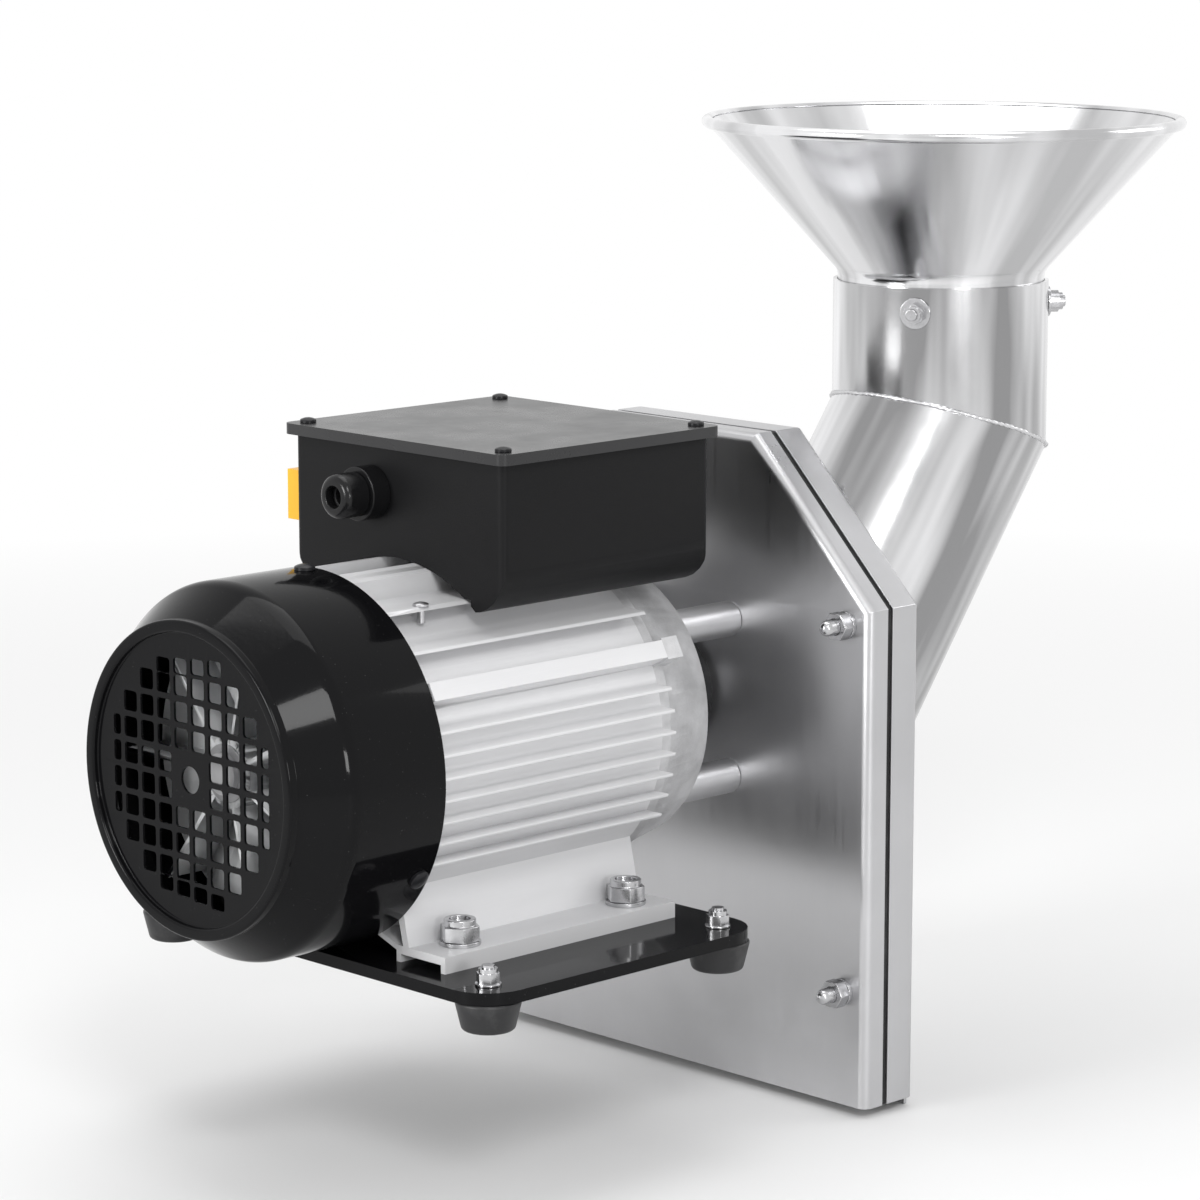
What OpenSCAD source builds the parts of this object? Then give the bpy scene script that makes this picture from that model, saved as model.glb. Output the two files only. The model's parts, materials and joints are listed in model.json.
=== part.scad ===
// Fruit crusher: an electric motor on a base plate turns a cutter disc in a sheet-steel housing,
// which is fed through a funnel and a bent pipe and drops the crushed fruit out of its open bottom.
// Every module works in the motor's own frame, with the shaft along +X and the grille's face at zero.

/* [Fan cowl] */
// How far the cowl stands out past the frame's tube
cowl_step = 11; // [10:0.5:14]
// Length of the cowl from the grille's face to its open edge
cowl_len = 78; // [74:1:90]
// Sheet thickness of the cowl
cowl_wall = 1.2; // [0.8:0.1:2]
// Outer radius of the bead round the grille
bead_ring_r = 75.5; // [72:0.5:78]
// Radius of the bead's own section
bead_r = 3; // [2:0.25:4]
// Length of the cone between the bead and the cylinder
cone_len = 23; // [18:1:30]
// Distance between the grille's holes, centre to centre
grille_pitch = 12.5; // [12:0.25:13]
// Side of a square hole of the grille
grille_hole = 9.75; // [8:0.25:10.5]

/* [Motor frame] */
// Height of the cowl above the base plate
cowl_clearance = 0.3; // [0.3:0.1:6]
// Length of the extruded frame
frame_len = 152; // [140:1:180]
// Outer radius of the frame's tube between the fins
frame_r = 79.5; // [78:0.5:81]
// Wall of the frame's tube
frame_wall = 6; // [5:0.5:7]
// How far the fins reach out past the frame's tube
fin_reach = 9.5; // [7:0.5:9.5]
// Thickness of a fin
fin_t = 1.6; // [1.2:0.1:2.4]
// Distance between the side fins
fin_pitch = 10.7; // [10:0.1:11]
// Height of the top face of the motor's foot above the base plate
foot_h = 8; // [7:0.5:10]
// Distance from the motor's middle plane to the outer edge of its foot
foot_half_w = 88.5; // [86:0.5:94]
// Distance of the front foot bolts from the frame's front end
foot_bolt_inset = 20; // [15:0.5:26]

/* [Shaft and rotor] */
// Radius of the shaft in the rotor
shaft_r = 15; // [14:0.5:17]
// Radius of the output end of the shaft
output_r = 12; // [11:0.25:12.25]
// Radius of the rotor
rotor_r = 40.6; // [38:0.1:44]
// Length of the stator's and the rotor's stacks
core_len = 88; // [70:1:96]
// Radius of the cooling fan
fan_r = 76; // [70:1:80]

/* [Terminal box] */
// Length of the box along the shaft
box_len = 138.3; // [132:0.1:146]
// Half of the box's width
box_half_w = 75; // [73:0.5:80]
// Height of the lid's underside above the shaft's axis
box_top = 144.8; // [138:0.2:155]
// Wall of the moulded box
box_wall = 2.5; // [2:0.1:3]
// Height of the lid
lid_h = 5.4; // [4:0.2:7]
// How far the lid stands out past the box all round
lid_overhang = 4.2; // [3:0.1:6]

/* [Base plate and feet] */
// Length of the base plate along the shaft
base_len = 186.5; // [180:0.5:200]
// Width of the base plate
base_w = 264; // [256:1:290]
// Height of the base plate's folded rim
base_rim_h = 6; // [5:0.5:12]
// Height of a rubber foot
rubber_h = 18.5; // [14:0.5:25]
// Radius of a rubber foot at its top
rubber_top_r = 16; // [15:0.5:16.5]
// Radius of a rubber foot at the floor
rubber_low_r = 12.5; // [11:0.5:14]

/* [Crusher housing] */
// Half of the housing's width
housing_half_w = 136.8; // [132:0.2:144]
// Height of the housing's top above the shaft's axis
housing_top = 136.7; // [130:0.1:140]
// Depth of the housing's open bottom below the shaft's axis
housing_drop = 197.6; // [180:0.2:220]
// Half of the width of the housing's flat top
housing_flat = 56.4; // [50:0.2:60]
// Sheet thickness of the housing
sheet_t = 2; // [1.5:0.1:2.5]
// Outer radius of the folds
fold_r = 5; // [4:0.25:7]
// Depth of the back tray
back_depth = 13; // [12:0.5:18]
// Thickness of the gasket between the trays
gasket_t = 3.5; // [2.5:0.25:5]
// Depth of the front cover
cover_depth = 20.5; // [20:0.5:30]
// Length of the spacer pillars
pillar_len = 43; // [36:0.5:60]
// Radius of the cutter disc
disc_r = 104; // [96:1:106]

/* [Feed pipe and funnel] */
// Outer radius of the feed pipe
pipe_r = 56; // [53:0.5:58]
// Wall of the feed pipe
pipe_wall = 2; // [1.5:0.25:3]
// Angle between the slanted pipe and the upright pipe
pipe_bend = 37; // [34:1:40]
// Distance from the cover's face to the upright pipe's axis
pipe_reach = 106.1; // [100:0.1:120]
// Sideways distance of the pipe's axis from the shaft's axis
pipe_offset = 54.4; // [50:0.2:58]
// Length of the upright pipe above the mitre, on its axis
pipe_upright = 74.4; // [66:0.2:100]
// Radius of the funnel's rolled rim
funnel_r = 125; // [110:1:140]
// Height of the funnel above the pipe's top
funnel_h = 84.6; // [70:0.2:100]
// Sheet thickness of the funnel
funnel_wall = 1.2; // [1:0.1:2]

/* [Hidden] */
$fn = 48;

// How far a cut runs past the face that it opens
overrun = 1;
// Clearance between pieces that sit in each other
fit = 0.05;
// Clearance between pieces that lie side by side or turn in each other
gap = 0.3;
// Steps of a rounded corner
arc_steps = 6;

// Radii that follow the frame's tube
frame_bore_r = frame_r - frame_wall;
fin_tip_r = frame_r + fin_reach;
cowl_r = frame_r + cowl_step;
base_z = -cowl_r - cowl_clearance;

// Places along the shaft
cowl_gap = 0.5;
frame_x = cowl_len + cowl_gap;
frame_end_x = frame_x + frame_len;
front_shield_len = 44;
shield_face_x = frame_end_x + front_shield_len;
back_x = shield_face_x + pillar_len;
gasket_x = back_x + back_depth;
cover_rim_x = gasket_x + gasket_t;
cover_x = cover_rim_x + cover_depth;

// Feed pipe and funnel
pipe_x = cover_x + pipe_reach;
pipe_y = -pipe_offset;
inlet_drop = 11;
mitre_z = -inlet_drop + pipe_reach / tan(pipe_bend);
pipe_top = mitre_z + pipe_upright;
pipe_bore_r = pipe_r - pipe_wall;
rim_r = 3;

// Bounds of the whole object, from which its origin is worked out
cover_lip = 5;
low_z = -housing_drop - cover_lip;
mid_x = (pipe_x + funnel_r - bead_r) / 2;
mid_y = (housing_half_w - pipe_offset - funnel_r) / 2;

module place() {
    translate([-mid_x, -mid_y, -low_z]) children();
}

// Turns a shape that is drawn about Z so that it stands about X
module along_x(x = 0, y = 0, z = 0) {
    translate([x, y, z]) rotate([90, 0, 90]) children();
}

// Turns a shape that is drawn about Z so that it stands about Y
module along_y(x = 0, y = 0, z = 0) {
    translate([x, y, z]) rotate([0, 90, 90]) children();
}

// Turned body about X: each point of the outline holds a radius and a place along the shaft
module turned(points) {
    rotate([0, 90, 0]) rotate_extrude($fn = 96) polygon(points);
}

// Ring about X
module ring_x(x, h, outer, inner) {
    along_x(x) difference() {
        cylinder(r = outer, h = h);
        translate([0, 0, -overrun]) cylinder(r = inner, h = h + 2 * overrun);
    }
}

// Outline in the plane across the shaft, drawn as [y, z] and run along the shaft
module across(x, len_x, points) {
    translate([x, 0, 0]) rotate([90, 0, 90]) linear_extrude(len_x) polygon(points);
}

function unit(v) = v / norm(v);
function polar(r, a) = [r * cos(a), r * sin(a)];

// Thin bar of thickness t between two points of a plane
function bar(p, q, t) =
    let (n = unit([p[1] - q[1], q[0] - p[0]]) * t / 2)
    [p + n, q + n, q - n, p - n];

// Arc that rounds the corner at b between a and c
function rounded_corner(a, b, c, r) =
    let (u = unit(a - b), w = unit(c - b), half = acos(u * w) / 2)
    let (middle = b + unit(u + w) * r / sin(half), start = b + u * r / tan(half) - middle)
    let (first = atan2(start[1], start[0]), sense = sign(cross(b - a, c - b)))
    [for (i = [0:arc_steps]) middle + polar(r, first + sense * (180 - 2 * half) * i / arc_steps)];

// Closed outline whose points hold [x, y, corner radius]
function outline(pts) = [
    for (i = [0:len(pts) - 1])
        let (a = pts[(i + len(pts) - 1) % len(pts)], b = pts[i], c = pts[(i + 1) % len(pts)])
        each b[2] == 0
            ? [[b[0], b[1]]]
            : rounded_corner([a[0], a[1]], [b[0], b[1]], [c[0], c[1]], b[2])
];

function rectangle(x0, y0, x1, y1, r) = outline([[x0, y0, r], [x1, y0, r], [x1, y1, r], [x0, y1, r]]);

// Fasteners stand on z = 0 and point up
module washer(outer, inner, t) {
    difference() {
        cylinder(r = outer, h = t);
        translate([0, 0, -overrun]) cylinder(r = inner, h = t + 2 * overrun);
    }
}

hex_corner_share = 1 / cos(30);
nut_round_share = 0.98;
module hexagon(across_flats, h) {
    intersection() {
        cylinder(r = across_flats / 2 * hex_corner_share, h = h, $fn = 6);
        cylinder(r = across_flats / 2 * hex_corner_share * nut_round_share, h = h);
    }
}

// Nut with a nylon ring: a hexagon under a round collar
collar_share = 0.9;
collar_h_share = 0.3;
module lock_nut(across_flats, h, hole_r) {
    difference() {
        union() {
            hexagon(across_flats, h * (1 - collar_h_share));
            cylinder(r = across_flats / 2 * collar_share, h = h);
        }
        translate([0, 0, -overrun]) cylinder(r = hole_r, h = h + 2 * overrun);
    }
}

// Screw with a low dome on a straight shank that hangs down
dome_share = 2;
module domed_screw(head_r, head_h, shank_r, shank_len) {
    translate([0, 0, -shank_len]) cylinder(r = shank_r, h = shank_len + head_h / 2);
    intersection() {
        cylinder(r = head_r, h = head_h);
        translate([0, 0, head_h - head_r * dome_share]) sphere(r = head_r * dome_share);
    }
}

// Fan cowl
cowl_ridge_r = 9;
hub_hole_r = 6.5;
cowl_screw_x = cowl_len - 7;
cowl_screw_r = 2.5;
cowl_screw_angles = [90, 210, 330];
grille_rows = 10;
grille_row_lengths = [4, 6, 8, 10, 8, 8, 10, 8, 6, 4];
grille_blank_rows = [4, 5];
grille_edge_share = 0.55;

// Sheet profile of the cowl, drawn inwards by the given depth
function cowl_profile(d) = outline([
    [0, d, 0],
    [bead_ring_r - 2 * bead_r, d, 0],
    [bead_ring_r - 2 * bead_r + d, -bead_r + d, (bead_r - d) / 2],
    [bead_ring_r - d, -bead_r + d, (bead_r - d) / 2],
    [bead_ring_r - d, bead_r / 2 + d, 0],
    [cowl_r - d, cone_len, cowl_ridge_r - d],
    [cowl_r - d, cowl_len + (d > 0 ? overrun : 0), 0],
    [0, cowl_len + (d > 0 ? overrun : 0), 0]
]);

module fan_cowl() {
    color([0.05, 0.05, 0.055]) difference() {
        turned(cowl_profile(0));
        turned(cowl_profile(cowl_wall));
        for (row = [0:grille_rows - 1]) grille_row(row);
        along_x(-bead_r) cylinder(r = hub_hole_r, h = 2 * bead_r + cowl_wall);
        for (a = cowl_screw_angles)
            translate([cowl_screw_x, 0, 0]) rotate([a - 90, 0, 0])
                cylinder(r = cowl_screw_r + fit, h = cowl_r + overrun);
    }
}

// One row of square holes; the rows beside the middle lack the holes at the hub
module grille_row(row) {
    count = grille_row_lengths[row];
    z = grille_pitch * ((grille_rows - 1) / 2 - row);
    blank = len(search(row, grille_blank_rows)) > 0;
    outer_row = row == 0 || row == grille_rows - 1;
    for (i = [0:count / 2 - 1], side = [-1, 1]) {
        column = i + (blank ? 1 : 0);
        y = side * grille_pitch * (column + 0.5);
        wide = column == grille_rows / 2 - 1 ? grille_hole * grille_edge_share : grille_hole;
        high = outer_row ? grille_hole * (1 + grille_edge_share) / 2 : grille_hole;
        inwards_y = -side * (grille_hole - wide) / 2;
        inwards_z = -sign(z) * (grille_hole - high) / 2;
        translate([-overrun, y + inwards_y - wide / 2, z + inwards_z - high / 2])
            cube([cowl_wall + 2 * overrun, wide, high]);
    }
}

cowl_screw_head_r = 5;
cowl_screw_head_h = 3;
module cowl_screws() {
    color([0.08, 0.08, 0.08]) for (a = cowl_screw_angles)
        translate([cowl_screw_x, 0, 0]) rotate([a - 90, 0, 0]) translate([0, 0, cowl_r])
            domed_screw(cowl_screw_head_r, cowl_screw_head_h, cowl_screw_r, shield_pad_h);
}

// Rear end shield with the bearing's seat and three pads inside the cowl
bearing_r = 26;
bearing_w = 15;
bearing_bore_r = 12.5;
boss_wall = 8;
seat_wall = 2;
wave_t = 1.5;
rear_shield_x = frame_x - seat_wall - wave_t - bearing_w;
rear_plate_t = 6;
spigot_len = 4;
spigot_t = 4;
rear_bearing_x = rear_shield_x + seat_wall + wave_t;
shield_pad_h = 12;
shield_pad_w = 18;
seal_lip = 1;
shaft_hole_r = bearing_bore_r - seal_lip;
shield_shell_r = frame_bore_r - spigot_t;
pad_x = rear_shield_x + bearing_w / 2;
shell_step = 1;

module rear_end_shield() {
    color([0.7, 0.7, 0.72]) difference() {
        union() {
            ring_x(frame_x - rear_plate_t, rear_plate_t, frame_r, bearing_r);
            ring_x(frame_x - overrun, spigot_len + overrun, frame_bore_r - fit, shield_shell_r);
            ring_x(rear_shield_x, frame_x - rear_shield_x, bearing_r + boss_wall, bearing_bore_r);
            ring_x(pad_x, frame_x - pad_x, frame_r - shell_step, shield_shell_r);
            for (a = cowl_screw_angles) shield_pad(a);
            screw_ears(frame_x - rear_plate_t, rear_plate_t, cowl_r - cowl_wall - gap);
        }
        along_x(rear_shield_x + seat_wall) cylinder(r = bearing_r + fit, h = frame_x);
        along_x(0) cylinder(r = shaft_hole_r, h = frame_x);
        for (a = cowl_screw_angles)
            translate([cowl_screw_x, 0, 0]) rotate([a - 90, 0, 0]) translate([0, 0, frame_r - boss_wall])
                cylinder(r = cowl_screw_r + fit, h = cowl_r);
        ear_holes(frame_x - rear_plate_t - overrun, rear_plate_t + 2 * overrun);
    }
}

module shield_pad(a) {
    intersection() {
        rotate([a - 90, 0, 0]) translate([pad_x, -shield_pad_w / 2, shield_shell_r + spigot_t / 2])
            cube([frame_x - pad_x, shield_pad_w, cowl_r]);
        along_x(rear_shield_x) cylinder(r = cowl_r - cowl_wall - fit, h = frame_x - rear_shield_x);
    }
}

// Screw bars of the frame and the ears of both end shields lie at the same angles
bar_angles = [27.6, 152.4, 241, 299];
bar_w = 9;
bar_reach_out = 11.8;
low_bar_reach_out = 9;
bar_r = frame_r + bar_reach_out;
low_bar_r = frame_r + low_bar_reach_out;
ear_margin = 1;
ear_screw_ring_r = frame_r + frame_wall - ear_margin;
ear_screw_r = 2.5;
ear_screw_head_r = 4;
ear_screw_head_h = 3;
ear_grip = 14;

function bar_reach(a) = a > 180 ? low_bar_r : bar_r;

module screw_ears(x, len_x, limit) {
    for (a = bar_angles)
        rotate([a, 0, 0]) translate([x, frame_bore_r, -bar_w / 2 - ear_margin])
            cube([len_x, min(bar_reach(a), limit) - frame_bore_r, bar_w + 2 * ear_margin]);
}

module ear_holes(x, len_x) {
    for (a = bar_angles)
        rotate([a, 0, 0]) along_x(x, ear_screw_ring_r) cylinder(r = ear_screw_r + fit, h = len_x);
}

// Extruded frame
side_fin_top_z = 23.2;
side_fin_count = 7;
upper_fins_z = [58.3, 74.2];
web_angle = -44.5;
web_t = 4;
web_foot_y = 61.6;
rib_angle = -72;
rib_t = 2.5;
rib_foot_y = 57;
foot_plate_t = 4;
foot_lip_t = 3;
foot_bolt_y = 74.2;
foot_bolt_r = 5;
foot_bolt_setback = 22.5;
foot_bolt_x = frame_x + foot_bolt_setback;
foot_bolt_pitch = frame_end_x - foot_bolt_inset - foot_bolt_x;
rail_y = 18;
rail_w = 12;
rail_r = fin_tip_r - gap;

module motor_frame() {
    foot_top = base_z + foot_h;
    color([0.82, 0.82, 0.83]) difference() {
        union() {
            along_x(frame_x) cylinder(r = frame_r, h = frame_len);
            intersection() {
                along_x(frame_x) cylinder(r = fin_tip_r, h = frame_len);
                union() {
                    for (i = [0:side_fin_count - 1]) frame_fin(side_fin_top_z - i * fin_pitch);
                    for (z = upper_fins_z) frame_fin(z);
                    for (side = [-1, 1])
                        translate([frame_x, side * rail_y - rail_w / 2, 0]) cube([frame_len, rail_w, rail_r]);
                }
            }
            for (a = bar_angles)
                rotate([a, 0, 0]) translate([frame_x, frame_bore_r, -bar_w / 2])
                    cube([frame_len, bar_reach(a) - frame_bore_r, bar_w]);
            for (side = [0, 1]) mirror([0, side, 0]) {
                wall_r = (frame_r + frame_bore_r) / 2;
                web_low = [web_foot_y, foot_top - foot_plate_t / 2];
                across(frame_x, frame_len, bar(polar(wall_r, web_angle), web_low, web_t));
                rib_low = [rib_foot_y, foot_top - foot_plate_t / 2];
                across(frame_x, frame_len, bar(polar(wall_r, rib_angle), rib_low, rib_t));
                foot_in_y = rib_foot_y - rib_t;
                translate([frame_x, foot_in_y, foot_top - foot_plate_t])
                    cube([frame_len, foot_half_w - foot_in_y, foot_plate_t]);
                translate([frame_x, foot_half_w - foot_lip_t, base_z]) cube([frame_len, foot_lip_t, foot_h]);
                translate([frame_x, foot_in_y, base_z]) cube([frame_len, foot_lip_t, foot_h]);
            }
        }
        along_x(frame_x - overrun) cylinder(r = frame_bore_r, h = frame_len + 2 * overrun);
        ear_holes(frame_x - overrun, ear_grip + overrun);
        ear_holes(frame_end_x - ear_grip, ear_grip + overrun);
        for (i = [0, 1], side = [-1, 1])
            translate([foot_bolt_x + i * foot_bolt_pitch, side * foot_bolt_y, base_z - overrun])
                cylinder(r = foot_bolt_r + fit, h = foot_h + 2 * overrun);
        for (x = box_screw_xs, side = [-1, 1])
            translate([x, side * rail_y, frame_bore_r - overrun])
                cylinder(r = box_screw_r + fit, h = rail_r);
        translate([earth_x, -earth_y, upper_fins_z[1] - fin_pitch / 2])
            cylinder(r = earth_r + fit, h = fin_pitch);
    }
}

module frame_fin(z) {
    translate([frame_x, -fin_tip_r, z - fin_t / 2]) cube([frame_len, 2 * fin_tip_r, fin_t]);
}

// Front end shield: a cast bowl that carries the front bearing, the seal and the pillars
shield_front_r = 67.6;
shield_band_len = 6;
shield_step = 1.5;
shield_corner_r = 3;
shield_wall = 9;
shield_hole_r = 13.1;
shield_plate_t = 7.5;
front_bearing_x = shield_face_x - shield_plate_t - bearing_w;
front_ear_len = 10.5;
pillar_ring_r = 57.5;
pillar_r = 9;
pillar_angles = [45, 135, 225, 315];
pillar_bolt_r = 4;
pillar_bolt_grip = 14;
hole_spare = 1;
pillar_boss_len = 18;
seal_r = 20;
seal_t = 5;

function shield_outline(d, x0, x1) = outline([
    [0, x0, 0],
    [frame_r - d, x0, 0],
    [frame_r - d, frame_end_x + shield_band_len, 0],
    [frame_r - shield_step - d, frame_end_x + shield_band_len, 0],
    [shield_front_r + shield_corner_r - d, x1 - shield_corner_r, 0],
    [shield_front_r - d, x1, 0],
    [0, x1, 0]
]);

module front_end_shield() {
    color([0.66, 0.66, 0.68]) difference() {
        union() {
            difference() {
                turned(shield_outline(0, frame_end_x, shield_face_x));
                turned(shield_outline(shield_wall, frame_end_x - overrun, shield_face_x - shield_plate_t));
            }
            ring_x(frame_end_x - spigot_len, spigot_len + overrun, frame_bore_r - fit, shield_shell_r);
            ring_x(front_bearing_x, shield_face_x - front_bearing_x, bearing_r + boss_wall, bearing_r);
            for (a = pillar_angles)
                rotate([a, 0, 0]) along_x(shield_face_x - pillar_boss_len, pillar_ring_r)
                    cylinder(r = pillar_r, h = pillar_boss_len);
            screw_ears(frame_end_x, front_ear_len, bar_r);
        }
        along_x(front_bearing_x - overrun) cylinder(r = bearing_r + fit, h = bearing_w + overrun);
        along_x(front_bearing_x) cylinder(r = shield_hole_r, h = shield_face_x);
        along_x(shield_face_x - seal_t) cylinder(r = seal_r + fit, h = seal_t + overrun);
        for (a = pillar_angles)
            rotate([a, 0, 0]) along_x(shield_face_x - pillar_bolt_grip - hole_spare, pillar_ring_r)
                cylinder(r = pillar_bolt_r + fit, h = pillar_bolt_grip + hole_spare + overrun);
        ear_holes(frame_end_x - overrun, front_ear_len + 2 * overrun);
    }
}

module ear_screw(ear_len) {
    domed_screw(ear_screw_head_r, ear_screw_head_h, ear_screw_r, ear_len + ear_grip - hole_spare);
}

module shield_screws() {
    color([0.6, 0.6, 0.62]) for (a = bar_angles) rotate([a, 0, 0]) {
        translate([frame_end_x + front_ear_len, ear_screw_ring_r, 0]) rotate([0, 90, 0])
            ear_screw(front_ear_len);
        translate([frame_x - rear_plate_t, ear_screw_ring_r, 0]) rotate([0, -90, 0])
            ear_screw(rear_plate_t);
    }
}

// Stator, windings and rotor
core_x = frame_x + (frame_len - core_len) / 2;
air_gap = 0.4;
stator_bore_r = rotor_r + air_gap;
winding_len = 19;
winding_wall = 4;
winding_in_r = stator_bore_r + winding_wall;
winding_out_r = frame_bore_r - 2 * winding_wall;
slot_count = 24;
slot_r = 2.2;
slot_ring_r = winding_in_r + slot_r + winding_wall / 4;

module stator_core() {
    color([0.35, 0.36, 0.38]) difference() {
        ring_x(core_x, core_len, frame_bore_r - fit, stator_bore_r);
        for (i = [0:slot_count - 1])
            rotate([i * 360 / slot_count, 0, 0]) along_x(core_x - overrun, slot_ring_r)
                cylinder(r = slot_r, h = core_len + 2 * overrun);
    }
}

module stator_windings() {
    color([0.72, 0.42, 0.2]) {
        turned(rectangle(winding_in_r, core_x - winding_len, winding_out_r, core_x, 0));
        turned(rectangle(winding_in_r, core_x + core_len, winding_out_r, core_x + core_len + winding_len, 0));
        for (i = [0:slot_count - 1])
            rotate([i * 360 / slot_count, 0, 0]) along_x(core_x - overrun, slot_ring_r)
                cylinder(r = slot_r - fit, h = core_len + 2 * overrun);
    }
}

end_ring_len = 9;
end_ring_step = 3;
end_ring_r = rotor_r - end_ring_step;
end_ring_bore_r = shaft_r + 2 * end_ring_step;
module rotor_core() {
    color([0.5, 0.5, 0.52]) {
        ring_x(core_x, core_len, rotor_r, shaft_r + fit);
        ring_x(core_x - end_ring_len, end_ring_len, end_ring_r, end_ring_bore_r);
        ring_x(core_x + core_len, end_ring_len, end_ring_r, end_ring_bore_r);
    }
}

// Shaft with its steps: fan seat, two bearing seats, rotor seat and output end
fan_shaft_r = 10;
fan_x = 22;
shaft_nose = 4;
shaft_start_x = fan_x - shaft_nose;
shaft_shoulder = 3;
disc_standoff = 11;
hub_end_x = back_x + disc_standoff;
end_play = 1;
output_end_x = hub_end_x - end_play;
hub_sleeve_len = 26;
hub_x = back_x - hub_sleeve_len;
key_w = 8;
key_h = 7;
key_len = 30;
key_inset = 2;
key_x = hub_x + key_inset;
key_depth = 4;
key_seat_z = output_r - key_depth;
circlip_t = 1.2;
circlip_x = fan_x - circlip_t - 2 * fit;
circlip_in_r = 9;
circlip_out_r = 14;
disc_bolt_r = 4;
disc_bolt_grip = 22;

module motor_shaft() {
    color([0.62, 0.63, 0.65]) difference() {
        turned([
            [0, shaft_start_x],
            [fan_shaft_r, shaft_start_x],
            [fan_shaft_r, rear_bearing_x - shaft_shoulder],
            [bearing_bore_r - fit, rear_bearing_x - shaft_shoulder],
            [bearing_bore_r - fit, rear_bearing_x + bearing_w],
            [shaft_r, rear_bearing_x + bearing_w],
            [shaft_r, front_bearing_x],
            [bearing_bore_r - fit, front_bearing_x],
            [bearing_bore_r - fit, front_bearing_x + bearing_w],
            [output_r, front_bearing_x + bearing_w],
            [output_r, output_end_x],
            [0, output_end_x]
        ]);
        ring_x(circlip_x, circlip_t + 2 * fit, shaft_r, circlip_in_r - fit);
        translate([key_x - fit, -key_w / 2 - fit, key_seat_z])
            cube([key_len + 2 * fit, key_w + 2 * fit, shaft_r]);
        along_x(output_end_x - disc_bolt_grip - hole_spare)
            cylinder(r = disc_bolt_r + fit, h = disc_bolt_grip + hole_spare + overrun);
    }
}

module shaft_key() {
    color([0.45, 0.45, 0.47]) translate([key_x, -key_w / 2, key_seat_z + fit]) cube([key_len, key_w, key_h]);
}

// Bearings: the outer races stay with the shields, the inner races and balls turn with the shaft
ball_r = 3.95;
ball_ring_r = 19.25;
ball_count = 9;
race_gap = 2.6;
groove_r = ball_r + fit;
bearing_xs = [rear_bearing_x, front_bearing_x];

module race(x, outer, inner) {
    difference() {
        ring_x(x, bearing_w, outer, inner);
        translate([x + bearing_w / 2, 0, 0]) rotate([0, 90, 0]) rotate_extrude()
            translate([ball_ring_r, 0]) circle(r = groove_r, $fn = 32);
    }
}

module bearing_outer_races() {
    color([0.7, 0.71, 0.73]) for (x = bearing_xs) race(x, bearing_r, ball_ring_r + race_gap);
}

module bearing_inner_races() {
    color([0.74, 0.75, 0.77]) for (x = bearing_xs) race(x, ball_ring_r - race_gap, bearing_bore_r);
}

module bearing_balls() {
    color([0.8, 0.8, 0.82]) for (x = bearing_xs, i = [0:ball_count - 1])
        rotate([i * 360 / ball_count, 0, 0]) translate([x + bearing_w / 2, ball_ring_r, 0])
            sphere(r = ball_r, $fn = 24);
}

module wave_washer() {
    color([0.55, 0.55, 0.56])
        ring_x(rear_shield_x + seat_wall + fit, wave_t - 2 * fit, bearing_r - shell_step,
            ball_ring_r + race_gap + gap);
}

module shaft_seal() {
    color([0.07, 0.07, 0.07]) ring_x(shield_face_x - seal_t, seal_t, seal_r, output_r + gap);
}

// Cooling fan on the shaft's rear end
fan_hub_r = 17;
fan_hub_len = 28;
fan_plate_t = 2.5;
fan_blade_t = 2;
fan_blade_len = 22;
fan_blade_count = 7;

module cooling_fan() {
    color([0.72, 0.72, 0.72]) {
        ring_x(fan_x, fan_hub_len, fan_hub_r, fan_shaft_r + fit);
        ring_x(fan_x + fan_blade_len, fan_plate_t, fan_r, fan_hub_r - fan_blade_t);
        for (i = [0:fan_blade_count - 1])
            rotate([i * 360 / fan_blade_count, 0, 0])
                translate([fan_x, fan_hub_r - fan_blade_t, -fan_blade_t / 2])
                cube([fan_blade_len + fan_plate_t / 2, fan_r - fan_hub_r, fan_blade_t]);
    }
}

circlip_slot_w = 5;
module fan_circlip() {
    color([0.3, 0.3, 0.31]) difference() {
        ring_x(circlip_x + fit, circlip_t, circlip_out_r, circlip_in_r);
        translate([0, -circlip_slot_w / 2, 0]) cube([fan_x, circlip_slot_w, circlip_out_r + overrun]);
    }
}

// Pillars between the motor and the housing, and their bolts
pillar_head_r = 7;
pillar_head_h = 5.5;

module spacer_pillars() {
    color([0.75, 0.76, 0.78]) for (a = pillar_angles)
        rotate([a, 0, 0]) along_x(shield_face_x, pillar_ring_r) difference() {
            cylinder(r = pillar_r, h = pillar_len);
            translate([0, 0, -overrun]) cylinder(r = pillar_bolt_r + gap, h = pillar_len + 2 * overrun);
        }
}

module pillar_bolts() {
    color([0.75, 0.76, 0.78]) for (a = pillar_angles)
        rotate([a, 0, 0]) translate([back_x + sheet_t, pillar_ring_r, 0]) rotate([0, 90, 0])
            domed_screw(pillar_head_r, pillar_head_h, pillar_bolt_r, sheet_t + pillar_len + pillar_bolt_grip);
}

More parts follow.
